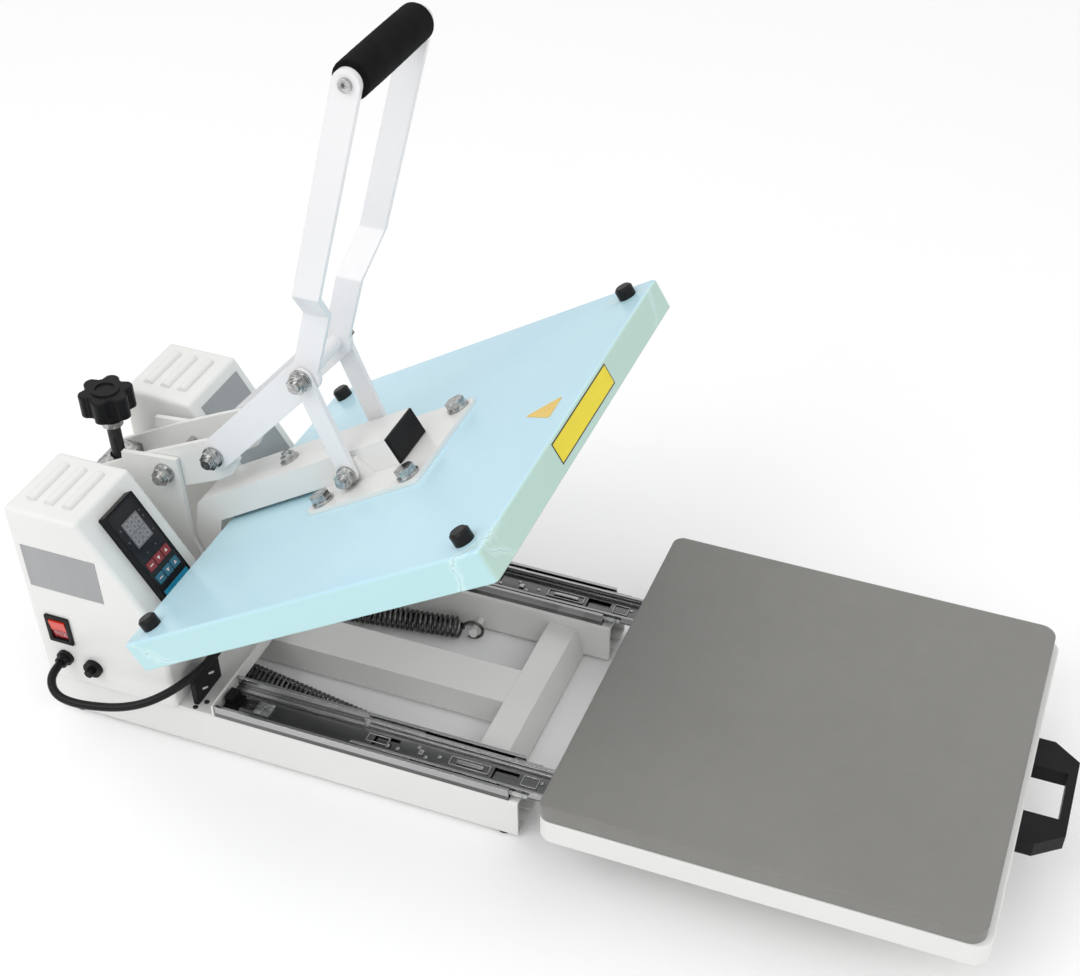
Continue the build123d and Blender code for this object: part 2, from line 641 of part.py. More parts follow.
def handle_bar():
    """The near bar: a cranked flat bar from the lever's pivot, past the toggle, to the grip.

    Between the toggle and the grip it steps outwards.
    """
    lower = link_plate(PIVOT_HANDLE, PIVOT_TOGGLE, 14.5, -BAR_OUT, -BAR_IN)
    dy, dz = GRIP[0] - PIVOT_TOGGLE[0], GRIP[1] - PIVOT_TOGGLE[1]

    def along(z):
        return PIVOT_TOGGLE[0] + dy * (z - PIVOT_TOGGLE[1]) / dz

    low, high = (along(JOGGLE_LOW), JOGGLE_LOW), (along(JOGGLE_HIGH), JOGGLE_HIGH)
    side = link_plate(PIVOT_TOGGLE, GRIP, 11, -GRIP_OUT - 5, -BAR_IN + 5)
    step = (GRIP_IN - BAR_IN) / (JOGGLE_HIGH - JOGGLE_LOW)
    ends = [
        (-BAR_IN, PIVOT_TOGGLE[1] - 60),
        (-BAR_IN, JOGGLE_LOW),
        (-GRIP_IN, JOGGLE_HIGH),
        (-GRIP_IN, GRIP[1] + 40),
        (-GRIP_OUT, GRIP[1] + 40),
        (-GRIP_OUT, JOGGLE_HIGH - step),
        (-BAR_OUT, JOGGLE_LOW - step),
        (-BAR_OUT, PIVOT_TOGGLE[1] - 60),
    ]
    profile = Plane.XZ * make_face(Polyline(*ends, close=True))
    strip = Pos(0, 400, 0) * extrude(profile, amount=400)
    strip = fillet(
        [e for e in strip.edges().filter_by(Axis.Y) if JOGGLE_LOW - 5 < e.center().Z < JOGGLE_HIGH + 5], 4
    )
    upper = side & strip
    bar = lower + upper
    bar -= rod_x(PIVOT_HANDLE, BOLT_R + RUN_FIT, -60, 60)
    return bar - rod_x(GRIP, 4.2, -70, 70)


def foam_grip():
    """The foam sleeve between the bars."""
    sleeve = rod_x(GRIP, 15, -GRIP_IN + 0.5, GRIP_IN - 0.5)
    sleeve = fillet(sleeve.edges(), 2.5)
    return sleeve - rod_x(GRIP, 8.1, -60, 60)


def build_handle():
    """Both bars, the grip with its core and screws, and the spacer at the toggle."""
    save("handle_bars", pair(handle_bar()))
    save("foam_grip", foam_grip())
    save("grip_rod", rod_x(GRIP, 8, -GRIP_IN, GRIP_IN) - rod_x(GRIP, 4, -GRIP_IN, -20) - rod_x(GRIP, 4, 20, GRIP_IN))
    screw = rod_x(GRIP, 4, -GRIP_OUT, -GRIP_IN + 28) + rod_x(GRIP, 5.2, -GRIP_OUT - 3, -GRIP_OUT)
    screw -= hexagon_x(GRIP, 4, -GRIP_OUT - 4, -GRIP_OUT - 1)
    save("grip_screws", pair(screw))
    save("toggle_spacer", rod_x(PIVOT_TOGGLE, SPACER_R, -BAR_IN, BAR_IN))


# ---- struts ----
def strut():
    """The near strut from the toggle down to the arm's ear."""
    plate = link_plate(PIVOT_TOGGLE, PIVOT_STRUT, STRUT_R, -STRUT_OUT, -STRUT_IN)
    return plate - rod_x(PIVOT_STRUT, BOLT_R + RUN_FIT, -60, 60)


def build_struts():
    """Both struts and the nuts on their upper ends."""
    save("struts", pair(strut()))
    near = nut_and_washer(PIVOT_TOGGLE, -STRUT_OUT)
    far = far_of(head_and_washer(PIVOT_TOGGLE, -STRUT_OUT))
    save("toggle_nuts", Compound(children=[near, far]))


# ---- platen arm, drawn closed and then opened ----
ELBOW = (285.0, (TUBE_BOTTOM + TUBE_TOP) / 2)
STOP_Y = PLATEN_REAR - 90.0
STOP_R = 4.2
STOP_TOP = 176.2


def arm_tube():
    """The square-cut tube over the platen, the leg down to the pivot and the springs' lever."""
    wall = 2.5
    half_high = (TUBE_TOP - TUBE_BOTTOM) / 2
    tube = slab(-TUBE_HALF, TUBE_HALF, 56, ELBOW[0], TUBE_BOTTOM, TUBE_TOP)
    tube -= slab(-TUBE_HALF + wall, TUBE_HALF - wall, 55, ELBOW[0] - 8, TUBE_BOTTOM + wall, TUBE_TOP - wall)
    leg = link_plate(ELBOW, PIVOT_ARM, half_high, -TUBE_HALF, TUBE_HALF)
    anchor = turned(SPRING_ANCHOR, PIVOT_ARM, OPEN_TILT)
    lever = link_plate(PIVOT_ARM, anchor, 10, -23, -17)
    rod = rod_x(anchor, 3.6, -57, 57)
    ends = rod_x(anchor, 4.8, -57, -54) + rod_x(anchor, 4.8, 54, 57)
    arm = tube + leg + lever + far_of(lever) + rod + ends
    arm -= rod_x(PIVOT_ARM, 8 + RUN_FIT, -60, 60)
    arm -= rod_x(STRUT_PIVOT_CLOSED, BOLT_R, -60, 60)
    return arm - rod_z(0, STOP_Y, STOP_R, TUBE_TOP - 4, TUBE_TOP + 1)


def platen_bracket():
    """The plate that bolts the platen on, with the two ears that the struts pull on."""
    plate = slab(-64, 64, 18, 144, COVER_TOP, TUBE_BOTTOM)
    plate = fillet(plate.edges().filter_by(Axis.Z), 5)
    outline = [(84, TUBE_BOTTOM), (122, TUBE_BOTTOM), (114, TUBE_TOP - 5), (92, TUBE_TOP - 5)]
    ear = plate_x(outline, -STRUT_IN + 0.5, -TUBE_HALF)
    ears = ear + far_of(ear)
    return plate + ears - rod_x(STRUT_PIVOT_CLOSED, BOLT_R, -60, 60)


def bracket_bolts():
    """Four hexagon bolts with washers."""
    bolts = []
    for x in (-52, 52):
        for y in (31, 130):
            head = Pos(x, y, TUBE_BOTTOM + 2) * extrude(RegularPolygon(9.2, 6), amount=6.5)
            bolts.append(rod_z(x, y, 10.5, TUBE_BOTTOM, TUBE_BOTTOM + 2) + head)
    return Compound(children=bolts)


def stop_stud():
    """The adjustable stop on the tube that the toggle's spacer comes down on."""
    stud = rod_z(0, STOP_Y, STOP_R, TUBE_TOP - 2.5, STOP_TOP)
    flange = rod_z(0, STOP_Y, 9.5, TUBE_TOP, TUBE_TOP + 1.6)
    nut = Pos(0, STOP_Y, TUBE_TOP + 1.6) * extrude(RegularPolygon(7.5, 6), amount=4.2)
    return stud + flange + nut


def platen_cover():
    """The deep cover over the heater, open underneath, with soft edges."""
    front = PLATEN_REAR - PLATEN_LENGTH
    bottom = PAD_TOP + 2
    cover = rounded_block(PLATEN_HALF_WIDTH, front, PLATEN_REAR, bottom, COVER_TOP, 5)
    cover = fillet(cover.edges().group_by(Axis.Z)[-1], 3)
    wall = SHEET
    hollow = rounded_block(
        PLATEN_HALF_WIDTH - wall, front + wall, PLATEN_REAR - wall, bottom - 1, COVER_TOP - wall, 3.5
    )
    return cover - hollow


def build_arm():
    """Everything that swings with the platen."""
    save("arm_tube", opened(arm_tube()))
    plug = slab(-TUBE_HALF, TUBE_HALF, 53, 56, TUBE_BOTTOM, TUBE_TOP)
    plug = fillet(plug.edges().group_by(Axis.Y)[0], 2)
    save("arm_end_cap", opened(plug))
    save("platen_bracket", opened(platen_bracket()))
    save("bracket_bolts", opened(bracket_bolts()))
    save("stop_stud", opened(stop_stud()))
    save("strut_pivot_bolt", through_bolt(PIVOT_STRUT, STRUT_OUT + 0.3, 0.95))
    inlet = rod_y(INLET_X, INLET_HIGH, 6.5, PLATEN_REAR - 6, PLATEN_REAR + INLET_LONG)
    inlet += rod_y(INLET_X, INLET_HIGH, 9, PLATEN_REAR, PLATEN_REAR + 3)
    save("platen_inlet", opened(inlet))
    cover = platen_cover() - rod_y(INLET_X, INLET_HIGH, 6.5, PLATEN_REAR - 7, PLATEN_REAR + 1)
    save("platen_cover", opened(cover))
    middle = PLATEN_REAR - PLATEN_LENGTH / 2 - 2
    heater_bottom = PAD_TOP + PLATEN_GAP
    heater = slab(-PAD / 2, PAD / 2, middle - PAD / 2, middle + PAD / 2, heater_bottom, heater_bottom + 16)
    heater = fillet(heater.edges().filter_by(Axis.Z), 8)
    save("heater_plate", opened(heater))
    wool = slab(-194, 194, middle - 186, middle + 186, heater_bottom + 16, COVER_TOP - SHEET)
    save("heater_wool", opened(wool))
    knobs = []
    for x in (-183, 183):
        for y in (PLATEN_REAR - 22, PLATEN_REAR - 371):
            knob = rod_z(x, y, 8.4, COVER_TOP, COVER_TOP + 10.5)
            knobs.append(chamfer(knob.edges().group_by(Axis.Z)[-1], 2))
    save("cover_knobs", opened(Compound(children=knobs)))


# ---- springs ----
def spring():
    """The near return spring: a coil drawn as a tube, with a ring at each end."""
    rear = Vector(-SPRING_REAR_X, *SPRING_ANCHOR)
    front = Vector(-SPRING_FRONT_X, *SPRING_STUD)
    run = front - rear
    length = run.length
    place = Plane(origin=rear, x_dir=Vector(0, 0, 1).cross(run), z_dir=run)
    coil_long = length - SPRING_REAR_GAP - SPRING_FRONT_GAP
    coil_mid = (SPRING_REAR_GAP + length - SPRING_FRONT_GAP) / 2
    body = Pos(0, 0, coil_mid) * Cylinder(COIL_R, coil_long)
    body -= Pos(0, 0, coil_mid) * Cylinder(COIL_R - 4, coil_long - 8)
    for at, gap, sign in ((0, SPRING_REAR_GAP, 1), (length, SPRING_FRONT_GAP, -1)):
        inner = HOOK_SLACK + RING_R + 1
        body += Pos(0, 0, at + sign * HOOK_SLACK) * Rot(0, 90, 0) * Torus(RING_R, WIRE_R)
        body += Pos(0, 0, at + sign * (inner + gap) / 2) * Cylinder(WIRE_R, gap - inner)
    return place * body


def build_springs():
    """Both return springs."""
    save("springs", pair(spring()))


os.makedirs("parts", exist_ok=True)
build_base()
build_slides()
build_drawer()
build_boxes()
save("heater_cable", heater_cable())
build_uprights()
build_pressure()
build_handle()
build_struts()
build_arm()
build_springs()
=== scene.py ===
import bpy
import bmesh
import math
import random
from mathutils import Matrix, Vector, noise
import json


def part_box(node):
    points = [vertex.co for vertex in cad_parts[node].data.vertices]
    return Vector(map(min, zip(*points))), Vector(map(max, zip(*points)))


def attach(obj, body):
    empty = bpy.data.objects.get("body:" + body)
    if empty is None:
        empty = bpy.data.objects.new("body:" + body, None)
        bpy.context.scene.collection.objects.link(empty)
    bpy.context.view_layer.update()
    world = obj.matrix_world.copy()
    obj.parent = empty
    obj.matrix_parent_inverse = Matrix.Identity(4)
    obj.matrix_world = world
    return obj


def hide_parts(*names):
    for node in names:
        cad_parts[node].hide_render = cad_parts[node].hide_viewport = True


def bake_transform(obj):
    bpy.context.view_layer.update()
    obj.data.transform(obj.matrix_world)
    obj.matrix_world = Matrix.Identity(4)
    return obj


# A clamshell heat press, seen from its control side with the drawer out and the platen open.
# Lengths are in metres, or in millimetres in the sections and comments that say so. "near" is the
# control side (-X), "far" is +X, and the front is -Y.

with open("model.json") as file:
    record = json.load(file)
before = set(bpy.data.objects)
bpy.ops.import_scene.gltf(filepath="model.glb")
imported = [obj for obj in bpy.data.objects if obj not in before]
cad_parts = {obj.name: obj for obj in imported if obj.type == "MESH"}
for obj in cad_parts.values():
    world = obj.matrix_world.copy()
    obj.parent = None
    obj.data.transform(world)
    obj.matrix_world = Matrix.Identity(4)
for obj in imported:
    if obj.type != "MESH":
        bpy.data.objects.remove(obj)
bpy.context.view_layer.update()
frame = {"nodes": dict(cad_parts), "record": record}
nodes = frame["nodes"]

MM = 0.001
NEAR, FAR = -1, 1


# ---- camera ----
def add_camera():
    """The camera, high on the control side and looking down over the platen."""
    camera = bpy.data.objects.new("camera", bpy.data.cameras.new("camera"))
    bpy.context.scene.collection.objects.link(camera)
    camera.data.lens = 54.587
    camera.data.sensor_width = 36
    camera.data.shift_x = -0.07463
    camera.data.shift_y = 0.12917
    camera.location = (-1.02868, -0.3884, 1.14619)
    camera.rotation_euler = [math.radians(a) for a in (47.24466, -1.50214, -70.65403)]
    bpy.context.scene.camera = camera


# ---- materials ----
def add(tree, kind, inputs=(), **settings):
    """Adds a node. Inputs are (name, value or socket) pairs, and settings are its properties."""
    made = tree.nodes.new(kind)
    for key, value in settings.items():
        setattr(made, key, value)
    for key, value in inputs:
        if isinstance(value, bpy.types.NodeSocket):
            tree.links.new(value, made.inputs[key])
        else:
            made.inputs[key].default_value = value
    return made


def place(tree, stretch=(1, 1, 1)):
    """A point's place in the object, in metres, scaled along each axis."""
    where = add(tree, "ShaderNodeTexCoord").outputs["Object"]
    return add(tree, "ShaderNodeMapping", [("Vector", where), ("Scale", stretch)]).outputs[0]


def grains(tree, scale, detail, stretch=(1, 1, 1)):
    """Noise from 0 to 1, with about `scale` features to the metre."""
    values = [("Vector", place(tree, stretch)), ("Scale", scale), ("Detail", detail), ("Roughness", 0.5)]
    return add(tree, "ShaderNodeTexNoise", values).outputs[0]


def spread(tree, value, low, high, to_low=0.0, to_high=1.0):
    """Maps a value from one range to another and holds it at the ends."""
    ends = [("From Min", low), ("From Max", high), ("To Min", to_low), ("To Max", to_high)]
    return add(tree, "ShaderNodeMapRange", [("Value", value), *ends]).outputs[0]


def mixed(tree, share, first, second):
    """A mix of two colours."""
    first = (*first, 1) if isinstance(first, tuple) else first
    second = (*second, 1) if isinstance(second, tuple) else second
    return add(tree, "ShaderNodeMixRGB", [("Fac", share), ("Color1", first), ("Color2", second)]).outputs[0]


def maths(tree, operation, first, second=0.0):
    """One step of arithmetic."""
    return add(tree, "ShaderNodeMath", [(0, first), (1, second)], operation=operation).outputs[0]


def dot(tree, first, second):
    """The dot product of two vectors."""
    product = add(tree, "ShaderNodeVectorMath", [(0, first), (1, second)], operation="DOT_PRODUCT")
    return product.outputs["Value"]


def height_of(tree):
    """A point's height over the floor, in metres."""
    return add(tree, "ShaderNodeSeparateXYZ", [("Vector", place(tree))]).outputs["Z"]


def edge_wear(tree, radius):
    """Near 1 on sharp edges and 0 on flats, with a soft normal for the edges."""
    soft = add(tree, "ShaderNodeBevel", [("Radius", radius)], samples=6).outputs[0]
    hard = add(tree, "ShaderNodeNewGeometry").outputs["Normal"]
    return spread(tree, dot(tree, soft, hard), 0.995, 0.8), soft


def finish(
    name,
    colour,
    roughness,
    metallic=0.0,
    *,
    tint,
    tint_scale,
    grain,
    stretch=(1, 1, 1),
    worn=None,
    edge=0.0006,
    **constants,
):
    """A material with broad colour variation, fine grain, uneven gloss and worn, softened edges.

    Tint is the colour that broad patches drift towards, worn is the colour of the edges, and grain
    is how fine and how strong the small bumps are. Any other value named is a socket's on the shader.
    """
    material = bpy.data.materials.new(name)
    material.use_nodes = True
    tree = material.node_tree
    shader = tree.nodes["Principled BSDF"]
    shader.inputs["Metallic"].default_value = metallic
    for key, value in constants.items():
        shader.inputs[key.replace("_", " ")].default_value = value
    patches = grains(tree, tint_scale, 4.0, stretch)
    shade = mixed(tree, spread(tree, patches, 0.35, 0.75, 0.0, 0.8), colour, tint)
    wear, soft = edge_wear(tree, edge)
    breaks = spread(tree, grains(tree, 240, 3.0), 0.4, 0.65)
    worn = worn or tuple(min(1.0, c * 1.12 + 0.01) for c in colour)
    shade = mixed(tree, maths(tree, "MULTIPLY", wear, breaks), shade, worn)
    tree.links.new(shade, shader.inputs["Base Color"])
    fine = grains(tree, grain[0], 2.0, stretch)
    smear = grains(tree, 60, 4.0, stretch)
    gloss = spread(tree, smear, 0.3, 0.7, roughness * 0.85, min(1.0, roughness * 1.15))
    tree.links.new(gloss, shader.inputs["Roughness"])
    values = [("Strength", grain[1]), ("Distance", 0.0004), ("Height", fine), ("Normal", soft)]
    tree.links.new(add(tree, "ShaderNodeBump", values).outputs[0], shader.inputs["Normal"])
    return material


def recolour(material, make_colour):
    """Puts a colour made by make_colour(tree, the colour so far) on a finished material."""
    tree = material.node_tree
    socket = tree.nodes["Principled BSDF"].inputs["Base Color"]
    tree.links.new(make_colour(tree, socket.links[0].from_socket), socket)
    return material


def relief(material, make_height, strength, distance):
    """Adds a second, coarser bump on top of a finished material's own."""
    tree = material.node_tree
    socket = tree.nodes["Principled BSDF"].inputs["Normal"]
    before = socket.links[0].from_socket
    size = [("Strength", strength), ("Distance", distance)]
    bump = add(tree, "ShaderNodeBump", [*size, ("Height", make_height(tree)), ("Normal", before)])
    tree.links.new(bump.outputs[0], socket)
    return material


PIVOT = Vector((0, 364.4, 64.6)) * MM  # where the platen arm turns, on the middle plane
OPEN_TILT = math.radians(-31.739)
ARM_TURN = Matrix.Translation(PIVOT) @ Matrix.Rotation(OPEN_TILT, 4, "X") @ Matrix.Translation(-PIVOT)

# Hairline veins in the cover, as a point and a normal of the sheet that each follows, with the
# arm level, and how far from the point they reach.
VEINS = [
    ((-204, -95, 124), (0.25, 0.75, 0.6), 55),
    ((-172, -122, 118), (0.75, 0.2, 0.63), 45),
    ((-204, 250, 122), (0.1, 0.62, -0.78), 60),
    ((180, -122, 128), (0.7, 0.1, -0.72), 60),
    ((204, 262, 120), (0.2, -0.7, 0.68), 60),
    ((150, 268, 120), (0.8, 0.1, 0.6), 50),
]
PAINT_PALER = (0.56, 0.80, 0.87)
# The sides' and the front's colours are a painted reflection of the surroundings, not the paint's own.
SIDE_REFLECTION_TINT = (0.46, 0.715, 0.745)
FRONT_REFLECTION_TINT = (0.49, 0.69, 0.62)
VEIN_HALO = (0.74, 0.93, 0.93)
VEIN_LINE = (0.30, 0.47, 0.49)
VEIN_WANDER = 0.045


def wandering(tree, own):
    """The object's places, each pushed aside a little, so that a straight sheet looks crooked."""
    values = [("Vector", place(tree)), ("Scale", 30), ("Detail", 5)]
    drift = add(tree, "ShaderNodeTexNoise", values).outputs[1]
    even = [(0, drift), (1, (0.5, 0.5, 0.5))]
    drift = add(tree, "ShaderNodeVectorMath", even, operation="SUBTRACT").outputs[0]
    scaled = add(tree, "ShaderNodeVectorMath", [(0, drift), ("Scale", VEIN_WANDER)], operation="SCALE")
    drift = scaled.outputs[0]
    return add(tree, "ShaderNodeVectorMath", [(0, own), (1, drift)], operation="ADD").outputs[0]


def marble(tree, colour):
    """The cover's blue paint with pale wandering veins, turned greener down its sides and front by a painted
    reflection.
    """
    soft = spread(tree, grains(tree, 7, 3.0), 0.35, 0.7, 0.0, 0.55)
    colour = mixed(tree, soft, colour, PAINT_PALER)
    normal = add(tree, "ShaderNodeTexCoord").outputs["Normal"]
    own = add(tree, "ShaderNodeTexCoord").outputs["Object"]
    # Painted reflection: faces turned from the top, and faces towards the front, are tinted greener by their
    # normals.
    turn = ARM_TURN.to_3x3()
    lying = dot(tree, normal, turn @ Vector((0, 0, 1)))
    colour = mixed(tree, spread(tree, lying, 0.8, 0.3), colour, SIDE_REFLECTION_TINT)
    facing = dot(tree, normal, turn @ Vector((0, -1, 0)))
    colour = mixed(tree, spread(tree, facing, 0.5, 0.9), colour, FRONT_REFLECTION_TINT)
    where = wandering(tree, own)
    for at, square, reach in VEINS:
        point = ARM_TURN @ (Vector(at) * MM)
        square = (turn @ Vector(square)).normalized()
        off = maths(tree, "SUBTRACT", dot(tree, where, square), square.dot(point))
        off = maths(tree, "ABSOLUTE", off)
        away = add(tree, "ShaderNodeVectorMath", [(0, own), (1, point)], operation="DISTANCE")
        fading = spread(tree, away.outputs["Value"], reach * MM * 0.75, reach * MM)
        near = maths(tree, "SUBTRACT", 1.0, fading)
        line = maths(tree, "MULTIPLY", spread(tree, off, 0.00075, 0.0002), near)
        halo = maths(tree, "MULTIPLY", spread(tree, off, 0.004, 0.0, 0.0, 0.5), near)
        colour = mixed(tree, halo, colour, VEIN_HALO)
        colour = mixed(tree, maths(tree, "MULTIPLY", line, 0.6), colour, VEIN_LINE)
    return colour


ROCKER_HIGH = 112.0  # the middle of the rocker, in millimetres


def two_tone(tree, colour):
    """The rocker's lens: its own red above the middle, and a darker, glassy red below with painted pale
    highlights.
    """
    below = spread(tree, height_of(tree), (ROCKER_HIGH + 1.5) * MM, (ROCKER_HIGH - 1.5) * MM)
    # Painted highlights: pale pink flecks on the lower half stand for its gloss catching light.
    painted_highlights = spread(tree, grains(tree, 380, 2.0), 0.54, 0.68)
    glassy_with_highlights = mixed(tree, painted_highlights, (0.36, 0.016, 0.022), (0.78, 0.36, 0.34))
    return mixed(tree, below, colour, glassy_with_highlights)


SLIDE_WEB = 50.8  # top of the middle slides' webs, in millimetres


def shaded_webs(tree, colour):
    """Zinc with painted shade down on the slides' webs, for the platen's dark underside reflected there, and
    clean on what stands above them.
    """
    streaks = spread(tree, grains(tree, 40, 4.0, (1, 0.06, 1)), 0.3, 0.7, 0.55, 0.9)
    web = spread(tree, height_of(tree), (SLIDE_WEB + 0.35) * MM, (SLIDE_WEB + 0.1) * MM)
    # The dark mix is painted shade on the webs, streaked along their length.
    return mixed(tree, maths(tree, "MULTIPLY", web, streaks), colour, (0.07, 0.07, 0.07))


def cells(tree, scale):
    """The distance to the middle of the nearest of many small cells."""
    return add(tree, "ShaderNodeTexVoronoi", [("Vector", place(tree)), ("Scale", scale)]).outputs["Distance"]


def make_materials():
    """Every finish on the press, by name. Most have the name of a slot in the record."""
    for plain in list(bpy.data.materials):
        bpy.data.materials.remove(plain)
    looks = {}
    looks["cream_paint"] = finish(
        "cream_paint", (0.79, 0.788, 0.77), 0.36, tint=(0.745, 0.742, 0.72), tint_scale=9,
        grain=(1400, 0.12), worn=(0.84, 0.84, 0.82), edge=0.0009,
        Coat_Weight=0.25, Coat_Roughness=0.25,
    )
    looks["white_paint"] = finish(
        "white_paint", (0.82, 0.815, 0.825), 0.34, tint=(0.78, 0.775, 0.785), tint_scale=8,
        grain=(1400, 0.12), worn=(0.86, 0.86, 0.86), edge=0.0009, Coat_Weight=0.25, Coat_Roughness=0.25,
    )
    blue = finish(
        "pale_blue_paint", (0.49, 0.74, 0.86), 0.34, tint=(0.52, 0.76, 0.84), tint_scale=5,
        grain=(1300, 0.1), worn=(0.70, 0.92, 0.94), edge=0.0012, Coat_Weight=0.35, Coat_Roughness=0.22,
    )
    looks["pale_blue_paint"] = recolour(blue, marble)
    zinc = finish(
        "zinc", (0.50, 0.50, 0.50), 0.2, 1.0, tint=(0.20, 0.20, 0.203), tint_scale=30,
        grain=(700, 0.25), stretch=(1, 0.06, 1), worn=(0.85, 0.85, 0.85), edge=0.0005,
    )
    # Painted shade darkens the slides' webs.
    looks["zinc"] = recolour(zinc, shaded_webs)
    # Its dark tint patches are a painted dark reflection, for the contrast of bright steel.
    looks["bright_steel"] = finish(
        "bright_steel", (0.56, 0.56, 0.55), 0.14, 1.0, tint=(0.10, 0.105, 0.11), tint_scale=230,
        grain=(1800, 0.15), worn=(0.88, 0.88, 0.87), edge=0.0005,
    )
    looks["black_steel"] = finish(
        "black_steel", (0.03, 0.03, 0.032), 0.32, 0.8, tint=(0.06, 0.06, 0.065), tint_scale=90,
        grain=(1500, 0.2), worn=(0.26, 0.26, 0.27), edge=0.0005,
    )
    looks["black_plastic"] = finish(
        "black_plastic", (0.007, 0.007, 0.008), 0.36, tint=(0.011, 0.011, 0.012), tint_scale=40,
        grain=(2200, 0.2), worn=(0.035, 0.035, 0.035), edge=0.0007, Specular_IOR_Level=0.14,
    )
    looks["black_rubber"] = finish(
        "black_rubber", (0.006, 0.006, 0.006), 0.34, tint=(0.010, 0.010, 0.010), tint_scale=60,
        grain=(1600, 0.15), worn=(0.03, 0.03, 0.03), edge=0.0006, Specular_IOR_Level=0.22,
    )
    foam = finish(
        "black_foam", (0.005, 0.005, 0.0055), 0.9, tint=(0.010, 0.010, 0.0105), tint_scale=120,
        grain=(2600, 0.5), worn=(0.018, 0.018, 0.018), Sheen_Weight=0.02, Sheen_Roughness=0.6,
        Specular_IOR_Level=0.06,
    )
    looks["black_foam"] = relief(foam, lambda tree: cells(tree, 900), 0.55, 0.0005)
    pad = finish(
        "silicone", (0.200, 0.197, 0.185), 0.62, tint=(0.220, 0.217, 0.202), tint_scale=6,
        grain=(1900, 0.3), worn=(0.30, 0.297, 0.28), edge=0.0012, Sheen_Weight=0.15, Sheen_Roughness=0.5,
    )
    looks["silicone"] = relief(pad, lambda tree: grains(tree, 260, 4.0), 0.14, 0.0006)
    looks["aluminium"] = finish(
        "aluminium", (0.70, 0.71, 0.72), 0.34, 1.0, tint=(0.58, 0.59, 0.60), tint_scale=25,
        grain=(900, 0.3), stretch=(0.05, 1, 1), worn=(0.85, 0.85, 0.85), edge=0.0008,
    )
    looks["insulation"] = finish(
        "insulation", (0.72, 0.70, 0.62), 0.95, tint=(0.60, 0.57, 0.48), tint_scale=60, grain=(500, 0.9),
    )
    looks["fibre_board"] = finish(
        "fibre_board", (0.30, 0.21, 0.13), 0.85, tint=(0.22, 0.15, 0.09), tint_scale=90,
        grain=(600, 0.5), stretch=(1, 0.3, 1),
    )
    looks["display"] = finish(
        "display", (0.010, 0.010, 0.012), 0.16, tint=(0.02, 0.02, 0.024), tint_scale=50,
        grain=(1200, 0.03), worn=(0.05, 0.05, 0.06), Specular_IOR_Level=0.25,
    )
    red = finish(
        "red_plastic", (0.80, 0.045, 0.014), 0.22, tint=(0.66, 0.025, 0.012), tint_scale=200,
        grain=(900, 0.06), worn=(0.95, 0.2, 0.14), Transmission_Weight=0.12, Coat_Weight=0.4,
    )
    looks["red_plastic"] = recolour(red, two_tone)
    looks["red_key"] = finish(
        "red_key", (0.25, 0.014, 0.020), 0.34, tint=(0.18, 0.010, 0.014), tint_scale=200,
        grain=(1200, 0.08), worn=(0.45, 0.06, 0.06), Coat_Weight=0.3,
    )
    looks["blue_key"] = finish(
        "blue_key", (0.012, 0.13, 0.21), 0.34, tint=(0.01, 0.10, 0.16), tint_scale=200,
        grain=(1200, 0.08), worn=(0.05, 0.28, 0.4), Coat_Weight=0.3,
    )
    looks["silver_plate"] = finish(
        "silver_plate", (0.37, 0.375, 0.38), 0.45, 0.3, tint=(0.33, 0.333, 0.34), tint_scale=30,
        grain=(1500, 0.2), stretch=(1, 1, 0.08), worn=(0.35, 0.35, 0.36), edge=0.0005,
    )
    looks["yellow_label"] = finish(
        "yellow_label", (0.86, 0.72, 0.03), 0.40, tint=(0.80, 0.66, 0.03), tint_scale=40,
        grain=(1500, 0.08), worn=(0.9, 0.8, 0.3),
    )
    looks["amber_label"] = finish(
        "amber_label", (0.80, 0.56, 0.13), 0.40, tint=(0.74, 0.50, 0.12), tint_scale=60,
        grain=(1500, 0.08), worn=(0.86, 0.70, 0.35),
    )
    looks["black_ink"] = finish(
        "black_ink", (0.015, 0.015, 0.013), 0.38, tint=(0.025, 0.025, 0.02), tint_scale=60,
        grain=(1500, 0.08), worn=(0.08, 0.08, 0.07),
    )
    looks["clear_plastic"] = finish(
        "clear_plastic", (0.86, 0.88, 0.86), 0.18, tint=(0.72, 0.76, 0.74), tint_scale=260,
        grain=(1400, 0.1), worn=(0.95, 0.96, 0.95), edge=0.0003, Transmission_Weight=0.55,
    )
    looks["tie_plastic"] = finish(
        "tie_plastic", (0.82, 0.82, 0.80), 0.35, tint=(0.76, 0.76, 0.73), tint_scale=200, grain=(1500, 0.1),
    )
    looks["spring_steel"] = finish(
        "spring_steel", (0.14, 0.138, 0.135), 0.26, 1.0, tint=(0.045, 0.045, 0.043), tint_scale=50,
        grain=(1600, 0.25), worn=(0.45, 0.44, 0.43), edge=0.0003,
    )
    looks["lit_window"] = finish(
        "lit_window", (0.16, 0.16, 0.165), 0.20, tint=(0.13, 0.13, 0.135), tint_scale=90,
        grain=(1200, 0.03), Coat_Weight=0.6, Coat_Roughness=0.08,
    )
    looks["digit"] = finish(
        "digit", (0.27, 0.27, 0.28), 0.30, tint=(0.22, 0.22, 0.23), tint_scale=300, grain=(1200, 0.05),
        Emission_Color=(0.6, 0.6, 0.62, 1), Emission_Strength=0.03,
    )
    looks["key_mark"] = finish(
        "key_mark", (0.82, 0.66, 0.62), 0.35, tint=(0.74, 0.58, 0.55), tint_scale=300, grain=(1200, 0.05),
    )
    looks["cyan_strip"] = finish(
        "cyan_strip", (0.01, 0.28, 0.46), 0.28, tint=(0.01, 0.22, 0.38), tint_scale=80,
        grain=(1200, 0.05), Coat_Weight=0.4,
    )
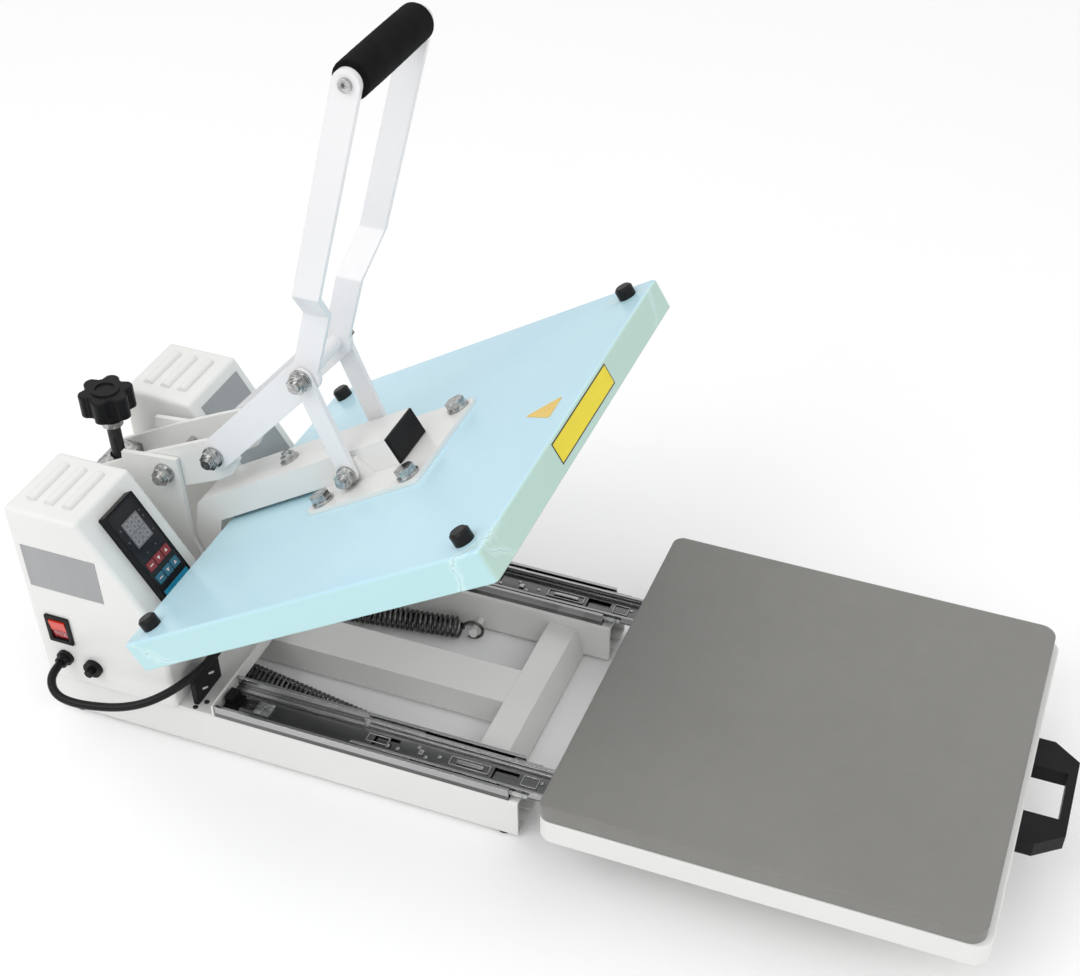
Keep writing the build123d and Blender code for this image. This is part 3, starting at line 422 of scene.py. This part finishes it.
    looks["dark_lens"] = finish(
        "dark_lens", (0.07, 0.075, 0.075), 0.25, tint=(0.12, 0.12, 0.12), tint_scale=300,
        grain=(1200, 0.05), Coat_Weight=0.5,
    )
    return looks


def paint_nodes(looks):
    """Gives every CAD node the finish of its material slot."""
    slots = {part["node"]: part["material_slot"] for part in frame["record"]["subparts"]}
    for name, piece in nodes.items():
        piece.data.materials.clear()
        piece.data.materials.append(looks[slots[name]])


# ---- mesh helpers ----
def piece_from(mesh, name, look, body=None, soft=True, slot=None):
    """A finished object from a bmesh, smooth across its shallow edges."""
    bmesh.ops.recalc_face_normals(mesh, faces=mesh.faces)
    data = bpy.data.meshes.new(name)
    mesh.to_mesh(data)
    mesh.free()
    for face in data.polygons:
        face.use_smooth = soft
    piece = bpy.data.objects.new(name, data)
    bpy.context.scene.collection.objects.link(piece)
    data.materials.append(look)
    if soft:
        data.set_sharp_from_angle(angle=math.radians(35))
    slot = slot or look.name
    if body:
        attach(piece, body)
    return piece


def circle(sides):
    """The cosine and sine at each of the points evenly round a circle."""
    angles = [math.tau * k / sides for k in range(sides)]
    return [(math.cos(angle), math.sin(angle)) for angle in angles]


def skin(mesh, rings, closed_ends=True):
    """Joins rings of points, each as long as the next, into one surface."""
    rows = [[mesh.verts.new(point) for point in ring] for ring in rings]
    for low, high in zip(rows, rows[1:]):
        for k in range(len(low)):
            after = (k + 1) % len(low)
            mesh.faces.new((low[k], low[after], high[after], high[k]))
    if closed_ends:
        mesh.faces.new(list(reversed(rows[0])))
        mesh.faces.new(rows[-1])
    return rows


def tube(mesh, line, radius, sides):
    """A round wire along a line of points."""
    line = [Vector(point) for point in line]
    side = None
    rings = []
    for k, point in enumerate(line):
        ahead = (line[min(k + 1, len(line) - 1)] - line[max(k - 1, 0)]).normalized()
        side = ahead.orthogonal() if side is None else side - ahead * side.dot(ahead)
        side.normalize()
        up = ahead.cross(side)
        rings.append([point + (side * c + up * s) * radius for c, s in circle(sides)])
    skin(mesh, rings)


def lathe(mesh, profile, origin, axis, sides):
    """A turned shape: (along, radius) pairs about an axis through a point."""
    axis = Vector(axis).normalized()
    side = axis.orthogonal().normalized()
    up = axis.cross(side)
    origin = Vector(origin)
    rings = []
    for along, radius in profile:
        middle = origin + axis * along
        rings.append([middle + (side * c + up * s) * radius for c, s in circle(sides)])
    skin(mesh, rings)


def block(mesh, low, high, bevel, turn=None):
    """A block between two corners with softened edges, moved by a matrix if one is given."""
    low, high = Vector(low), Vector(high)
    made = bmesh.ops.create_cube(mesh, size=1.0)
    shift = Matrix.Translation((low + high) / 2) @ Matrix.Diagonal((*(high - low), 1))
    bmesh.ops.transform(mesh, matrix=shift, verts=made["verts"])
    edges = list({edge for vert in made["verts"] for edge in vert.link_edges})
    corners = made["verts"] + edges
    out = bmesh.ops.bevel(mesh, geom=corners, offset=bevel, segments=2, profile=0.5, affect="EDGES")
    if turn is not None:
        verts = {vert for face in out["faces"] for vert in face.verts}
        reached = {v for vert in verts for edge in vert.link_edges for v in edge.verts}
        bmesh.ops.transform(mesh, matrix=turn, verts=list(verts | reached))


def span(mesh, x, y, z, bevel):
    """A block between pairs of X, Y and Z, in millimetres."""
    low, high = [Vector(corner) * MM for corner in zip(x, y, z)]
    block(mesh, low, high, bevel * MM)


def prism(mesh, outline, low, high, turn):
    """A flat piece with an outline in XY, from one height to another, moved by a matrix."""
    rings = [[turn @ Vector((x, y, z)) for x, y in outline] for z in (low, high)]
    skin(mesh, rings)


def rectangle(x0, y0, x1, y1):
    """The outline of a rectangle between two corners."""
    return [(x0, y0), (x1, y0), (x1, y1), (x0, y1)]


# ---- springs ----
SPRING_REAR, SPRING_FRONT = (48, 358.8, 14.6), (82, 126.8, 12.5)  # in millimetres, X from the middle
RING_R = 10.2 * MM
RING_ARC = 300  # degrees of wire in the ring at each end
RING_POINTS = 22
HOOK_SLACK = 2.0 * MM
COIL_R = 9.8 * MM
COIL_PITCH = 5.2 * MM
COIL_FROM, COIL_SHORT = 25.0 * MM, 15.4 * MM  # its start, and how short of the stud it ends
COIL_STEPS = 20  # points in one turn
WIRE_R = 1.7 * MM


def spring_line(rear, front):
    """The wire's middle line: a ring round the arm's rod, the coil, and a ring round the stud."""
    length = (front - rear).length
    ahead = (front - rear).normalized()
    side = Vector((0, 0, 1)).cross(ahead).normalized()
    up = ahead.cross(side)
    coil_long = length - COIL_SHORT - COIL_FROM
    last = round(coil_long / COIL_PITCH) * COIL_STEPS
    line = []

    def put(along, out, lift):
        line.append(rear + ahead * along + side * out + up * lift)

    for k in range(RING_POINTS):
        angle = math.radians(RING_ARC * k / (RING_POINTS - 1) - RING_ARC)
        put(HOOK_SLACK + RING_R * math.cos(angle), 0, RING_R * math.sin(angle))
    for k in range(last + 1):
        angle = math.tau * k / COIL_STEPS
        grown = min(1.0, (k + 3) * 3 / COIL_STEPS, (last - k + 3) * 3 / COIL_STEPS)
        radius = COIL_R * math.sin(grown * math.pi / 2)
        put(COIL_FROM + coil_long * k / last, radius * math.cos(angle), radius * math.sin(angle))
    for k in range(RING_POINTS):
        angle = math.radians(180 - RING_ARC * k / (RING_POINTS - 1))
        put(length - HOOK_SLACK + RING_R * math.cos(angle), 0, RING_R * math.sin(angle))
    return line


def add_springs(looks):
    """Both return springs as real coils that stretch between the frame and the arm."""
    mesh = bmesh.new()
    for side in (NEAR, FAR):
        rear, front = [Vector((x * side, y, z)) * MM for x, y, z in (SPRING_REAR, SPRING_FRONT)]
        tube(mesh, spring_line(rear, front), WIRE_R, 8)
    springs = piece_from(mesh, "return_springs", looks["spring_steel"], slot="black_steel")
    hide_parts("springs")
    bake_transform(springs)


# ---- heater cable, in metres ----
CABLE_ROUTE = [
    (-0.1600, 0.4378, 0.0770),
    (-0.1735, 0.4378, 0.0770),
    (-0.1855, 0.4318, 0.0740),
    (-0.1930, 0.4208, 0.0710),
    (-0.1945, 0.4053, 0.0695),
    (-0.1915, 0.3848, 0.0690),
    (-0.1860, 0.3608, 0.0705),
    (-0.1775, 0.3398, 0.0750),
    (-0.1635, 0.3233, 0.0805),
    (-0.1450, 0.3113, 0.0855),
    (-0.1220, 0.3043, 0.0885),
    (-0.0990, 0.3038, 0.0880),
    (-0.0780, 0.3103, 0.0865),
    (-0.0625, 0.3218, 0.0875),
    (-0.0530, 0.3343, 0.0945),
    (-0.0480, 0.3428, 0.1060),
    (-0.0465, 0.3458, 0.1200),
    (-0.0460, 0.3443, 0.1335),
    (-0.0460, 0.3398, 0.1442),
    (-0.0460, 0.3318, 0.1523),
    (-0.0460, 0.3228, 0.1578),
]
CABLE_WIDE = 0.008


def cable_line():
    """Points along the smooth line whose control points are the route's."""
    curve = bpy.data.curves.new("cable_route", "CURVE")
    curve.dimensions = "3D"
    curve.resolution_u = 12
    spline = curve.splines.new("NURBS")
    spline.points.add(len(CABLE_ROUTE) - 1)
    for point, at in zip(spline.points, CABLE_ROUTE):
        point.co = (*at, 1)
    spline.order_u = 3
    spline.use_endpoint_u = True
    holder = bpy.data.objects.new("cable_route", curve)
    bpy.context.scene.collection.objects.link(holder)
    bpy.context.view_layer.update()
    sampled = bpy.data.meshes.new_from_object(holder)
    line = [vert.co.copy() for vert in sampled.vertices]
    bpy.data.objects.remove(holder)
    bpy.data.meshes.remove(sampled)
    return line


def add_cable(looks):
    """The black cable from the control box up to the platen."""
    line = cable_line()
    mesh = bmesh.new()
    tube(mesh, line, CABLE_WIDE / 2, 20)
    cable = piece_from(mesh, "heater_lead", looks["black_rubber"])
    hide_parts("heater_cable")
    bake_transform(cable)


# ---- silicone pad and foam grip ----
PAD_FRONT_R, PAD_REAR_R = 14 * MM, 10 * MM
PAD_EDGE_R = 3.2 * MM
PAD_SINK = 0.5 * MM  # how far the rim of the top lies under the top of the CAD pad
PAD_CROWN, PAD_WAVE = 0.35 * MM, 0.12 * MM
PAD_MESH = 9 * MM  # about how far apart the points along a straight side are


def rounded_outline(low, high, front_r, rear_r, steps=12):
    """Points round a rectangle in XY with one corner radius in front and another behind."""
    corners = [
        (low.x + front_r, low.y + front_r, front_r, 180),
        (high.x - front_r, low.y + front_r, front_r, 270),
        (high.x - rear_r, high.y - rear_r, rear_r, 0),
        (low.x + rear_r, high.y - rear_r, rear_r, 90),
    ]
    points = []
    for x, y, radius, start in corners:
        for k in range(steps + 1):
            angle = math.radians(start + 90 * k / steps)
            points.append(Vector((x + radius * math.cos(angle), y + radius * math.sin(angle))))
    spaced = []
    for here, after in zip(points, points[1:] + points[:1]):
        cuts = max(1, round((after - here).length / PAD_MESH))
        spaced.extend(here.lerp(after, k / cuts) for k in range(cuts))
    return spaced


def pad_top_ring(rim, middle, share, level):
    """A ring on the pad's top, a share of the way in from its rim, crowned and gently uneven."""
    crown = PAD_CROWN * math.sin(min(1.0, share * 4) * math.pi / 2)
    ring = []
    for point in rim:
        x = point.x + (middle.x - point.x) * share
        y = point.y + (middle.y - point.y) * share
        wave = PAD_WAVE * noise.noise(Vector((x * 9, y * 9, 3.1)))
        ring.append(Vector((x, y, level + crown + wave)))
    return ring


def add_pad(looks):
    """The thick silicone pad: soft edges, a faint crown and a surface that isn't quite level."""
    low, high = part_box("silicone_pad")
    outline = rounded_outline(low, high, PAD_FRONT_R, PAD_REAR_R)
    middle = Vector(((low.x + high.x) / 2, (low.y + high.y) / 2))
    level = high.z - PAD_SINK
    levels = [(0.8 * MM, low.z), (0.1 * MM, low.z + 1.2 * MM), (0.25 * MM, low.z + 9 * MM)]
    for k in range(7):
        angle = math.radians(90 * k / 6)
        levels.append((PAD_EDGE_R * (1 - math.cos(angle)), level - PAD_EDGE_R * (1 - math.sin(angle))))
    rings = []
    for inset, z in levels:
        moved = [point + (middle - point).normalized() * inset for point in outline]
        rings.append([Vector((point.x, point.y, z)) for point in moved])
    rim = rings[-1]
    rings.extend(pad_top_ring(rim, middle, k / 22, level) for k in range(1, 22))
    mesh = bmesh.new()
    skin(mesh, rings)
    pad = piece_from(mesh, "press_pad", looks["silicone"], "drawer")
    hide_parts("silicone_pad")


GRIP_ROLL = 3.2 * MM  # the rounding at each end
GRIP_SINK = 0.35 * MM
GRIP_SWELL = 0.25 * MM
GRIP_PEBBLE = 0.16 * MM
GRIP_HOLE_R = 8.1 * MM
GRIP_ROWS, GRIP_SIDES = 90, 64


def add_grip(looks):
    """The foam sleeve: fuller in the middle, rolled at its ends, with a pebbled skin."""
    low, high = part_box("foam_grip")
    middle = (low + high) / 2
    radius = (high.z - low.z) / 2
    length = high.x - low.x
    turns = circle(GRIP_SIDES)
    rings = []
    for k in range(GRIP_ROWS + 1):
        along = length * k / GRIP_ROWS
        end = min(along, length - along)
        curl = 1.0 if end > GRIP_ROLL else math.sqrt(max(0.0, 1 - (1 - end / GRIP_ROLL) ** 2))
        base = radius - GRIP_ROLL * (1 - curl) - GRIP_SINK
        swell = GRIP_SWELL * math.sin(math.pi * k / GRIP_ROWS)
        ring = []
        for c, s in turns:
            pebble = noise.noise(Vector((along * 420, c * 6.5, s * 6.5)))
            reach = base + swell + GRIP_PEBBLE * pebble
            ring.append(Vector((low.x + along, middle.y + reach * c, middle.z + reach * s)))
        rings.append(ring)
    for x in (high.x, low.x):
        rings.append([Vector((x, middle.y + GRIP_HOLE_R * c, middle.z + GRIP_HOLE_R * s)) for c, s in turns])
    mesh = bmesh.new()
    rows = skin(mesh, rings, closed_ends=False)
    for k in range(GRIP_SIDES):
        after = (k + 1) % GRIP_SIDES
        mesh.faces.new((rows[-1][k], rows[-1][after], rows[0][after], rows[0][k]))
    grip = piece_from(mesh, "grip_sleeve", looks["black_foam"], "handle")
    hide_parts("foam_grip")


# ---- pressure screw ----
THREAD_PITCH, THREAD_DEEP = 2.0 * MM, 0.55 * MM
THREAD_SIDES = 24
THREAD_ROWS = 6  # rings in one pitch
THREAD_TAPER = 0.6 * MM


def add_screw_thread(looks):
    """The knob's long screw with its thread cut in."""
    low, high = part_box("knob_rod")
    middle = (low + high) / 2
    outer = (high.x - low.x) / 2
    rows = int((high.z - low.z) / (THREAD_PITCH / THREAD_ROWS))
    rings = []
    for k in range(rows + 1):
        z = low.z + (high.z - low.z) * k / rows
        end = min(1.0, (z - low.z) / THREAD_PITCH, (high.z - z) / THREAD_PITCH)
        ring = []
        for j, (c, s) in enumerate(circle(THREAD_SIDES)):
            phase = (z / THREAD_PITCH - j / THREAD_SIDES) % 1.0
            tooth = min(1.0, abs(phase - 0.5) * 2.5)
            radius = outer - THREAD_DEEP * tooth - (1 - end) * THREAD_TAPER
            ring.append(Vector((middle.x + radius * c, middle.y + radius * s, z)))
        rings.append(ring)
    mesh = bmesh.new()
    skin(mesh, rings)
    screw = piece_from(mesh, "pressure_screw_thread", looks["black_steel"], "pressure_screw")
    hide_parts("knob_rod")


# ---- telescopic slides, in millimetres ----
SLIDE_X = 122.5  # the middle of each slide
RACE = 18.9  # the ball races, from the slide's middle
CAGE_RUNS = ((96, 152), (-20, 8), (-118, -60))
CAGE_FLOOR, CAGE_TOP = 51.6, 55.2
BALL_R, BALL_PITCH, BALL_HIGH = 1.75, 9, 53.6
BEAD_X, BEAD_HALF, BEAD_RUN = 13.2, 0.8, (-124, 150)
RIM = 1.2  # how wide a stamped rim is
LATCHES = ((62.8, 23.8, 5.4), (-7.2, -23.2, 6.4), (144.8, 122.8, 5.0))  # rear, front, half width
TONGUES = (((-2.2, 2.2), (30, 56), 2.0, 0.8), ((-4.2, 1.8), (88, 93), 1.8, 0.6))  # X, Y, height, bevel
RIVET_PROFILE = ((0, 2.1), (0.7, 2.0), (1.1, 1.2), (1.2, 0.2))  # height and radius
RIVETS = ((4.5, 94.8), (-5, 84.8), (3, -25.2), (0, 72.8), (-4, 112.8))
CLIP_TOP = 48.6
CLIP_HALF, CLIP_RUN = 7.6, (242.2, 259.2)
CLIP_PAD_HALF, CLIP_PAD_RUN, CLIP_SCREW_Y = 5.6, (259.4, 273.0), 264.8
SCREWS = ((249.8, CLIP_TOP + 0.1, 0.65), (31.8, 47.4, 1.6))  # Y, Z of the seat, and height
HEAD_R = 4.2


def screw_head(mesh, at, radius, height, turn):
    """A domed screw head on a level surface, with a cross recess."""
    at = Vector(at)
    rows = 10
    rings = []
    for k in range(rows):
        share = 1 - k / rows
        rise = height * math.sqrt(max(0.0, 1 - share**2.6))
        ring = []
        for c, s in circle(40):
            x, y = radius * share * c, radius * share * s
            u = abs(x * math.cos(turn) + y * math.sin(turn))
            v = abs(y * math.cos(turn) - x * math.sin(turn))
            in_cross = min(u, v) < radius * 0.14 and max(u, v) < radius * 0.58
            z = rise - height * 0.55 if in_cross else rise
            ring.append(at + Vector((x, y, z)))
        rings.append(ring)
    centre = sum(rings[-1], Vector()) / len(rings[-1])
    rings.append([point.lerp(centre, 0.5) for point in rings[-1]])
    skin(mesh, rings)


def add_stampings(looks, centre, label):
    """The beads, latch frames, tongues and rivets on a middle slide's web."""
    mesh = bmesh.new()
    for x in (centre - BEAD_X, centre + BEAD_X):
        span(mesh, (x - BEAD_HALF, x + BEAD_HALF), BEAD_RUN, (SLIDE_WEB - 0.1, SLIDE_WEB + 0.9), 0.35)
    raised = (SLIDE_WEB, SLIDE_WEB + 1.3)
    for rear, front, half in LATCHES:
        for x in (centre - half, centre + half - RIM):
            span(mesh, (x, x + RIM), (front, rear), raised, 0.4)
        for y in (front, rear - RIM):
            span(mesh, (centre - half, centre + half), (y, y + RIM), raised, 0.4)
    for (left, right), run, rise, bevel in TONGUES:
        span(mesh, (centre + left, centre + right), run, (SLIDE_WEB, SLIDE_WEB + rise), bevel)
    rivet = [(along * MM, radius * MM) for along, radius in RIVET_PROFILE]
    for x, y in RIVETS:
        lathe(mesh, rivet, Vector((centre + x, y, SLIDE_WEB)) * MM, (0, 0, 1), 20)
    piece_from(mesh, f"slide_stampings_{label}", looks["zinc"], "slide_middle")


def add_ball_races(looks, centre, label):
    """The plastic cages along both races of a slide, and the balls in them."""
    races = (centre - RACE, centre + RACE)
    mesh = bmesh.new()
    for front, rear in CAGE_RUNS:
        for x in races:
            span(mesh, (x - 1.3, x + 1.3), (front, rear), (CAGE_FLOOR, CAGE_TOP), 0.6)
    piece_from(mesh, f"ball_cages_{label}", looks["clear_plastic"], "slide_middle")
    mesh = bmesh.new()
    for front, rear in CAGE_RUNS:
        count = int((rear - front) / BALL_PITCH)
        for k in range(count):
            y = front + (rear - front) * (k + 0.5) / count
            for x in races:
                ball = bmesh.ops.create_icosphere(mesh, subdivisions=2, radius=BALL_R * MM)
                bmesh.ops.translate(mesh, vec=Vector((x, y, BALL_HIGH)) * MM, verts=ball["verts"])
    piece_from(mesh, f"bearing_balls_{label}", looks["bright_steel"], "slide_middle")


def add_clip(looks, centre, label):
    """The slide's bright clip and screws, and the dark pad behind with a dark screw in it."""
    mesh = bmesh.new()
    span(mesh, (centre - CLIP_HALF, centre + CLIP_HALF), CLIP_RUN, (CLIP_TOP - 0.1, CLIP_TOP + 0.2), 0.12)
    for y, z, high in SCREWS:
        screw_head(mesh, Vector((centre, y, z)) * MM, HEAD_R * MM, high * MM, random.uniform(0, 1.5))
    piece_from(mesh, f"slide_screws_{label}", looks["bright_steel"], "base")
    mesh = bmesh.new()
    x = (centre - CLIP_PAD_HALF, centre + CLIP_PAD_HALF)
    span(mesh, x, CLIP_PAD_RUN, (CLIP_TOP - 0.1, CLIP_TOP + 0.25), 0.15)
    piece_from(mesh, f"clip_pad_{label}", looks["black_rubber"], "base")
    mesh = bmesh.new()
    at = Vector((centre, CLIP_SCREW_Y, CLIP_TOP + 0.2)) * MM
    screw_head(mesh, at, HEAD_R * MM, 0.55 * MM, random.uniform(0, 1.5))
    piece_from(mesh, f"clip_screw_{label}", looks["black_steel"], "base")


def add_slide_details(looks):
    """What is stamped, riveted and screwed on both slides."""
    for side, label in ((NEAR, "near"), (FAR, "far")):
        centre = SLIDE_X * side
        add_stampings(looks, centre, label)
        add_ball_races(looks, centre, label)
        random.seed(7 + side)
        add_clip(looks, centre, label)


# ---- controller, in millimetres on its own plane ----
SLOPE_FOOT = Vector((0, 326.8, 141.0)) * MM  # in metres, where the sloping fronts begin
SLOPE_ANGLE = math.atan2(65.0, 106.0)
CONTROLLER_ALONG = 64  # its middle, up the slope
FACE = 7.8  # height of the face over the boxes' slope
WINDOW_TOP = 8.2
WINDOW, STRIP = (-11.6, 6.1, 11.6, 32.3), (-18.8, -42, 18.8, -37.4)
DIGIT_WIDE, DIGIT_TALL, DIGIT_STEP = 4.8, 9.2, 7.0
DIGIT_LEFT, DIGIT_ROWS = -9.4, (20.8, 8.4)
BAR_HALF = 0.6
LAMPS = ((-15.5, 29), (-15.5, 16), (15.5, 30), (15.5, 24), (15.5, 9), (-6, -2), (7, -2))
KEY_TOP = 8.2


def on_slope(x, along):
    """The matrix that lays a piece drawn on XY, in millimetres, on the boxes' sloping front."""
    up_slope = Vector((x, along * math.sin(SLOPE_ANGLE), along * math.cos(SLOPE_ANGLE))) * MM
    tilt = Matrix.Rotation(math.pi / 2 - SLOPE_ANGLE, 4, "X")
    return Matrix.Translation(SLOPE_FOOT + up_slope) @ tilt @ Matrix.Scale(MM, 4)


def bar(mesh, start, end, low, high, turn):
    """One bar of a digit, pointed at both ends."""
    start, end = Vector(start), Vector(end)
    ahead = (end - start).normalized()
    side = Vector((-ahead.y, ahead.x)) * BAR_HALF
    first, last = start + ahead * BAR_HALF * 1.2, end - ahead * BAR_HALF * 1.2
    tips = start + ahead * 0.1, end - ahead * 0.1
    outline = [tips[0], first - side, last - side, tips[1], last + side, first + side]
    prism(mesh, [(p.x, p.y) for p in outline], low, high, turn)


def digit(mesh, x, y, low, high, turn):
    """A figure eight of seven bars with its lower left corner at (x, y)."""
    right, middle, top = x + DIGIT_WIDE, y + DIGIT_TALL / 2, y + DIGIT_TALL
    bars = [
        ((x, top), (right, top)),
        ((right, top), (right, middle)),
        ((right, middle), (right, y)),
        ((x, y), (right, y)),
        ((x, middle), (x, y)),
        ((x, top), (x, middle)),
        ((x, middle), (right, middle)),
    ]
    for start, end in bars:
        bar(mesh, start, end, low, high, turn)


def add_display(looks, turn):
    """The controller's window and its two rows of generic digits."""
    mesh = bmesh.new()
    prism(mesh, rectangle(*WINDOW), WINDOW_TOP - 0.05, WINDOW_TOP + 0.1, turn)
    piece_from(mesh, "display_window", looks["lit_window"], "base", soft=False, slot="display")
    mesh = bmesh.new()
    for row in DIGIT_ROWS:
        for k in range(3):
            x = DIGIT_LEFT + k * DIGIT_STEP
            digit(mesh, x, row, WINDOW_TOP + 0.05, WINDOW_TOP + 0.22, turn)
    piece_from(mesh, "display_digits", looks["digit"], "base", soft=False, slot="display")


def add_lamps(looks, turn):
    """The small unlit lamps round the window, and the coloured strip under the keys."""
    mesh = bmesh.new()
    lens = [(FACE - 0.1, 0.9), (FACE + 0.1, 0.9), (FACE + 0.25, 0.6), (FACE + 0.3, 0.1)]
    for x, y in LAMPS:
        lathe(mesh, lens, (x, y, 0), (0, 0, 1), 16)
    bmesh.ops.transform(mesh, matrix=turn, verts=mesh.verts)
    piece_from(mesh, "status_lamps", looks["dark_lens"], "base", slot="display")
    mesh = bmesh.new()
    prism(mesh, rectangle(*STRIP), FACE - 0.05, FACE + 0.15, turn)
    piece_from(mesh, "controller_strip", looks["cyan_strip"], "base", soft=False, slot="blue_key")


def key_mark(x, y, column):
    """The outline of a key's mark: a bar on the left, then a down arrow and an up arrow."""
    if column == 0:
        return rectangle(x - 2.4, y - 0.5, x + 2.4, y + 0.5)
    if column == 1:
        return [(x, y - 2), (x + 1.9, y + 1.4), (x - 1.9, y + 1.4)]
    return [(x, y + 2), (x - 1.9, y - 1.4), (x + 1.9, y - 1.4)]


def add_key_marks(looks, turn):
    """The marks on the two rows of three keys, each moving with its key."""
    for number in range(1, 7):
        low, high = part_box(f"controller_key_{number}")
        middle = turn.inverted() @ ((low + high) / 2)
        outline = key_mark(middle.x, middle.y, (number - 1) % 3)
        mesh = bmesh.new()
        prism(mesh, outline, KEY_TOP - 0.05, KEY_TOP + 0.12, turn)
        slot = "red_key" if number <= 3 else "blue_key"
        piece_from(mesh, f"key_mark_{number}", looks["key_mark"], f"key_{number}", soft=False, slot=slot)


def add_controller_details(looks):
    """Everything on the controller's face."""
    low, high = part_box("controller_bezel")
    turn = on_slope((low.x + high.x) / 2 / MM, CONTROLLER_ALONG)
    add_display(looks, turn)
    add_lamps(looks, turn)
    add_key_marks(looks, turn)


# ---- labels, ties and small screws, in millimetres ----
LABEL_AT = (0, -122.1, 125.2)  # the middle of the platen's front, with the arm level
LABEL_HALF = (61, 9.8)
BORDER = (1.2, 1.1)
BORDER_SKIN, FIELD_SKIN, CORNER_SKIN = (0.02, 0.2), (0.15, 0.3), (0.02, 0.22)  # over the paint
COVER_TOP = (0, -3.2, 138.0)
TRIANGLE = ((-1.6, -66.6), (-18, -99.0), (15.9, -98.1))
ROUNDING = 0.12  # the share of a side that a rounded corner takes
TIES = ((-111.8, 65.7), (-125.1, 57.9))
GUIDE_FRONT = 309.6
TIE_HALF = (4.2, 0.9, 0.9)
DECK_TOP = 48.0
GUIDE_SCREWS = ((-142.5, 311.3, 0.4), (-133.0, 304.8, 1.1))  # X, Y, and turn in radians


def rounded_corners(corners):
    """A polygon's outline with each corner drawn as a short curve of five points."""
    outline = []
    for k, corner in enumerate(corners):
        here = Vector(corner)
        before, after = Vector(corners[k - 1]), Vector(corners[(k + 1) % len(corners)])
        for share in (0.0, 0.25, 0.5, 0.75, 1.0):
            first = here.lerp(before, ROUNDING * (1 - share))
            outline.append(first.lerp(here.lerp(after, ROUNDING * share), share))
    return [(point.x, point.y) for point in outline]


def add_labels(looks):
    """Blank labels: a bordered yellow one on the platen's front and an amber one on its top."""
    upright = Matrix.Rotation(math.pi / 2, 4, "X") @ Matrix.Scale(MM, 4)
    face = ARM_TURN @ Matrix.Translation(Vector(LABEL_AT) * MM) @ upright
    wide, tall = LABEL_HALF
    mesh = bmesh.new()
    prism(mesh, rectangle(-wide, -tall, wide, tall), *BORDER_SKIN, face)
    piece_from(mesh, "label_border", looks["black_ink"], "platen_arm", soft=False, slot="pale_blue_paint")
    wide, tall = wide - BORDER[0], tall - BORDER[1]
    mesh = bmesh.new()
    prism(mesh, rectangle(-wide, -tall, wide, tall), *FIELD_SKIN, face)
    piece_from(mesh, "label_field", looks["yellow_label"], "platen_arm", soft=False, slot="pale_blue_paint")
    top = ARM_TURN @ Matrix.Translation(Vector(COVER_TOP) * MM) @ Matrix.Scale(MM, 4)
    mesh = bmesh.new()
    prism(mesh, rounded_corners(TRIANGLE), *CORNER_SKIN, top)
    piece_from(mesh, "corner_label", looks["amber_label"], "platen_arm", soft=False, slot="pale_blue_paint")


def add_small_parts(looks):
    """The two ties on the cable guide and the screws beside it."""
    mesh = bmesh.new()
    long, deep, high = [half * MM for half in TIE_HALF]
    for x, z in TIES:
        at = Matrix.Translation(Vector((x, GUIDE_FRONT, z)) * MM)
        turn = at @ Matrix.Rotation(math.radians(30), 4, "Y")
        block(mesh, (-long, -0.8 * MM, -high), (long, deep, high), 0.3 * MM, turn)
    piece_from(mesh, "cable_ties", looks["tie_plastic"], "base", slot="black_plastic")
    mesh = bmesh.new()
    for x, y, turn in GUIDE_SCREWS:
        screw_head(mesh, Vector((x, y, DECK_TOP)) * MM, 2.6 * MM, 1.6 * MM, turn)
    piece_from(mesh, "guide_screws", looks["black_steel"], "base")


# ---- floor and light ----
FLOOR_REACH = 14
SKY_LOW, SKY_HIGH = (0.30, 0.30, 0.31), (1.0, 1.0, 1.0)


def add_area(name, power, size, at, towards):
    """A soft area light that faces a point."""
    light = bpy.data.objects.new(name, bpy.data.lights.new(name, "AREA"))
    light.data.energy = power
    light.data.size = size
    light.location = at
    light.rotation_euler = (Vector(towards) - Vector(at)).to_track_quat("-Z", "Y").to_euler()
    bpy.context.scene.collection.objects.link(light)


def add_floor():
    """A plain pale floor."""
    data = bpy.data.meshes.new("floor")
    r = FLOOR_REACH
    data.from_pydata([(-r, -r, 0), (r, -r, 0), (r, r, 0), (-r, r, 0)], [], [(0, 1, 2, 3)])
    floor = bpy.data.objects.new("floor", data)
    bpy.context.scene.collection.objects.link(floor)
    pale, paler = (0.97, 0.97, 0.97), (0.98, 0.98, 0.98)
    data.materials.append(finish("floor", paler, 0.7, tint=pale, tint_scale=2, grain=(300, 0.02)))


def add_sky():
    """A soft white dome, greyer towards the horizon."""
    world = bpy.data.worlds.new("studio")
    world.use_nodes = True
    tree = world.node_tree
    aim = add(tree, "ShaderNodeTexCoord").outputs["Generated"]
    height = add(tree, "ShaderNodeSeparateXYZ", [("Vector", aim)]).outputs["Z"]
    dome = mixed(tree, spread(tree, height, -0.05, 0.55), SKY_LOW, SKY_HIGH)
    tree.links.new(dome, tree.nodes["Background"].inputs["Color"])
    tree.nodes["Background"].inputs["Strength"].default_value = 1.0
    bpy.context.scene.world = world


add_camera()
materials = make_materials()
add_cable(materials)
add_springs(materials)
paint_nodes(materials)
add_pad(materials)
add_grip(materials)
add_screw_thread(materials)
add_slide_details(materials)
add_controller_details(materials)
add_labels(materials)
add_small_parts(materials)
add_floor()
add_sky()
add_area("key", 16, 1.6, (-1.6, 0.9, 2.0), (0, 0, 0.15))
add_area("fill", 5.5, 2.2, (-1.2, -1.8, 1.4), (0, 0, 0.1))
bpy.context.scene.view_settings.view_transform = "Standard"
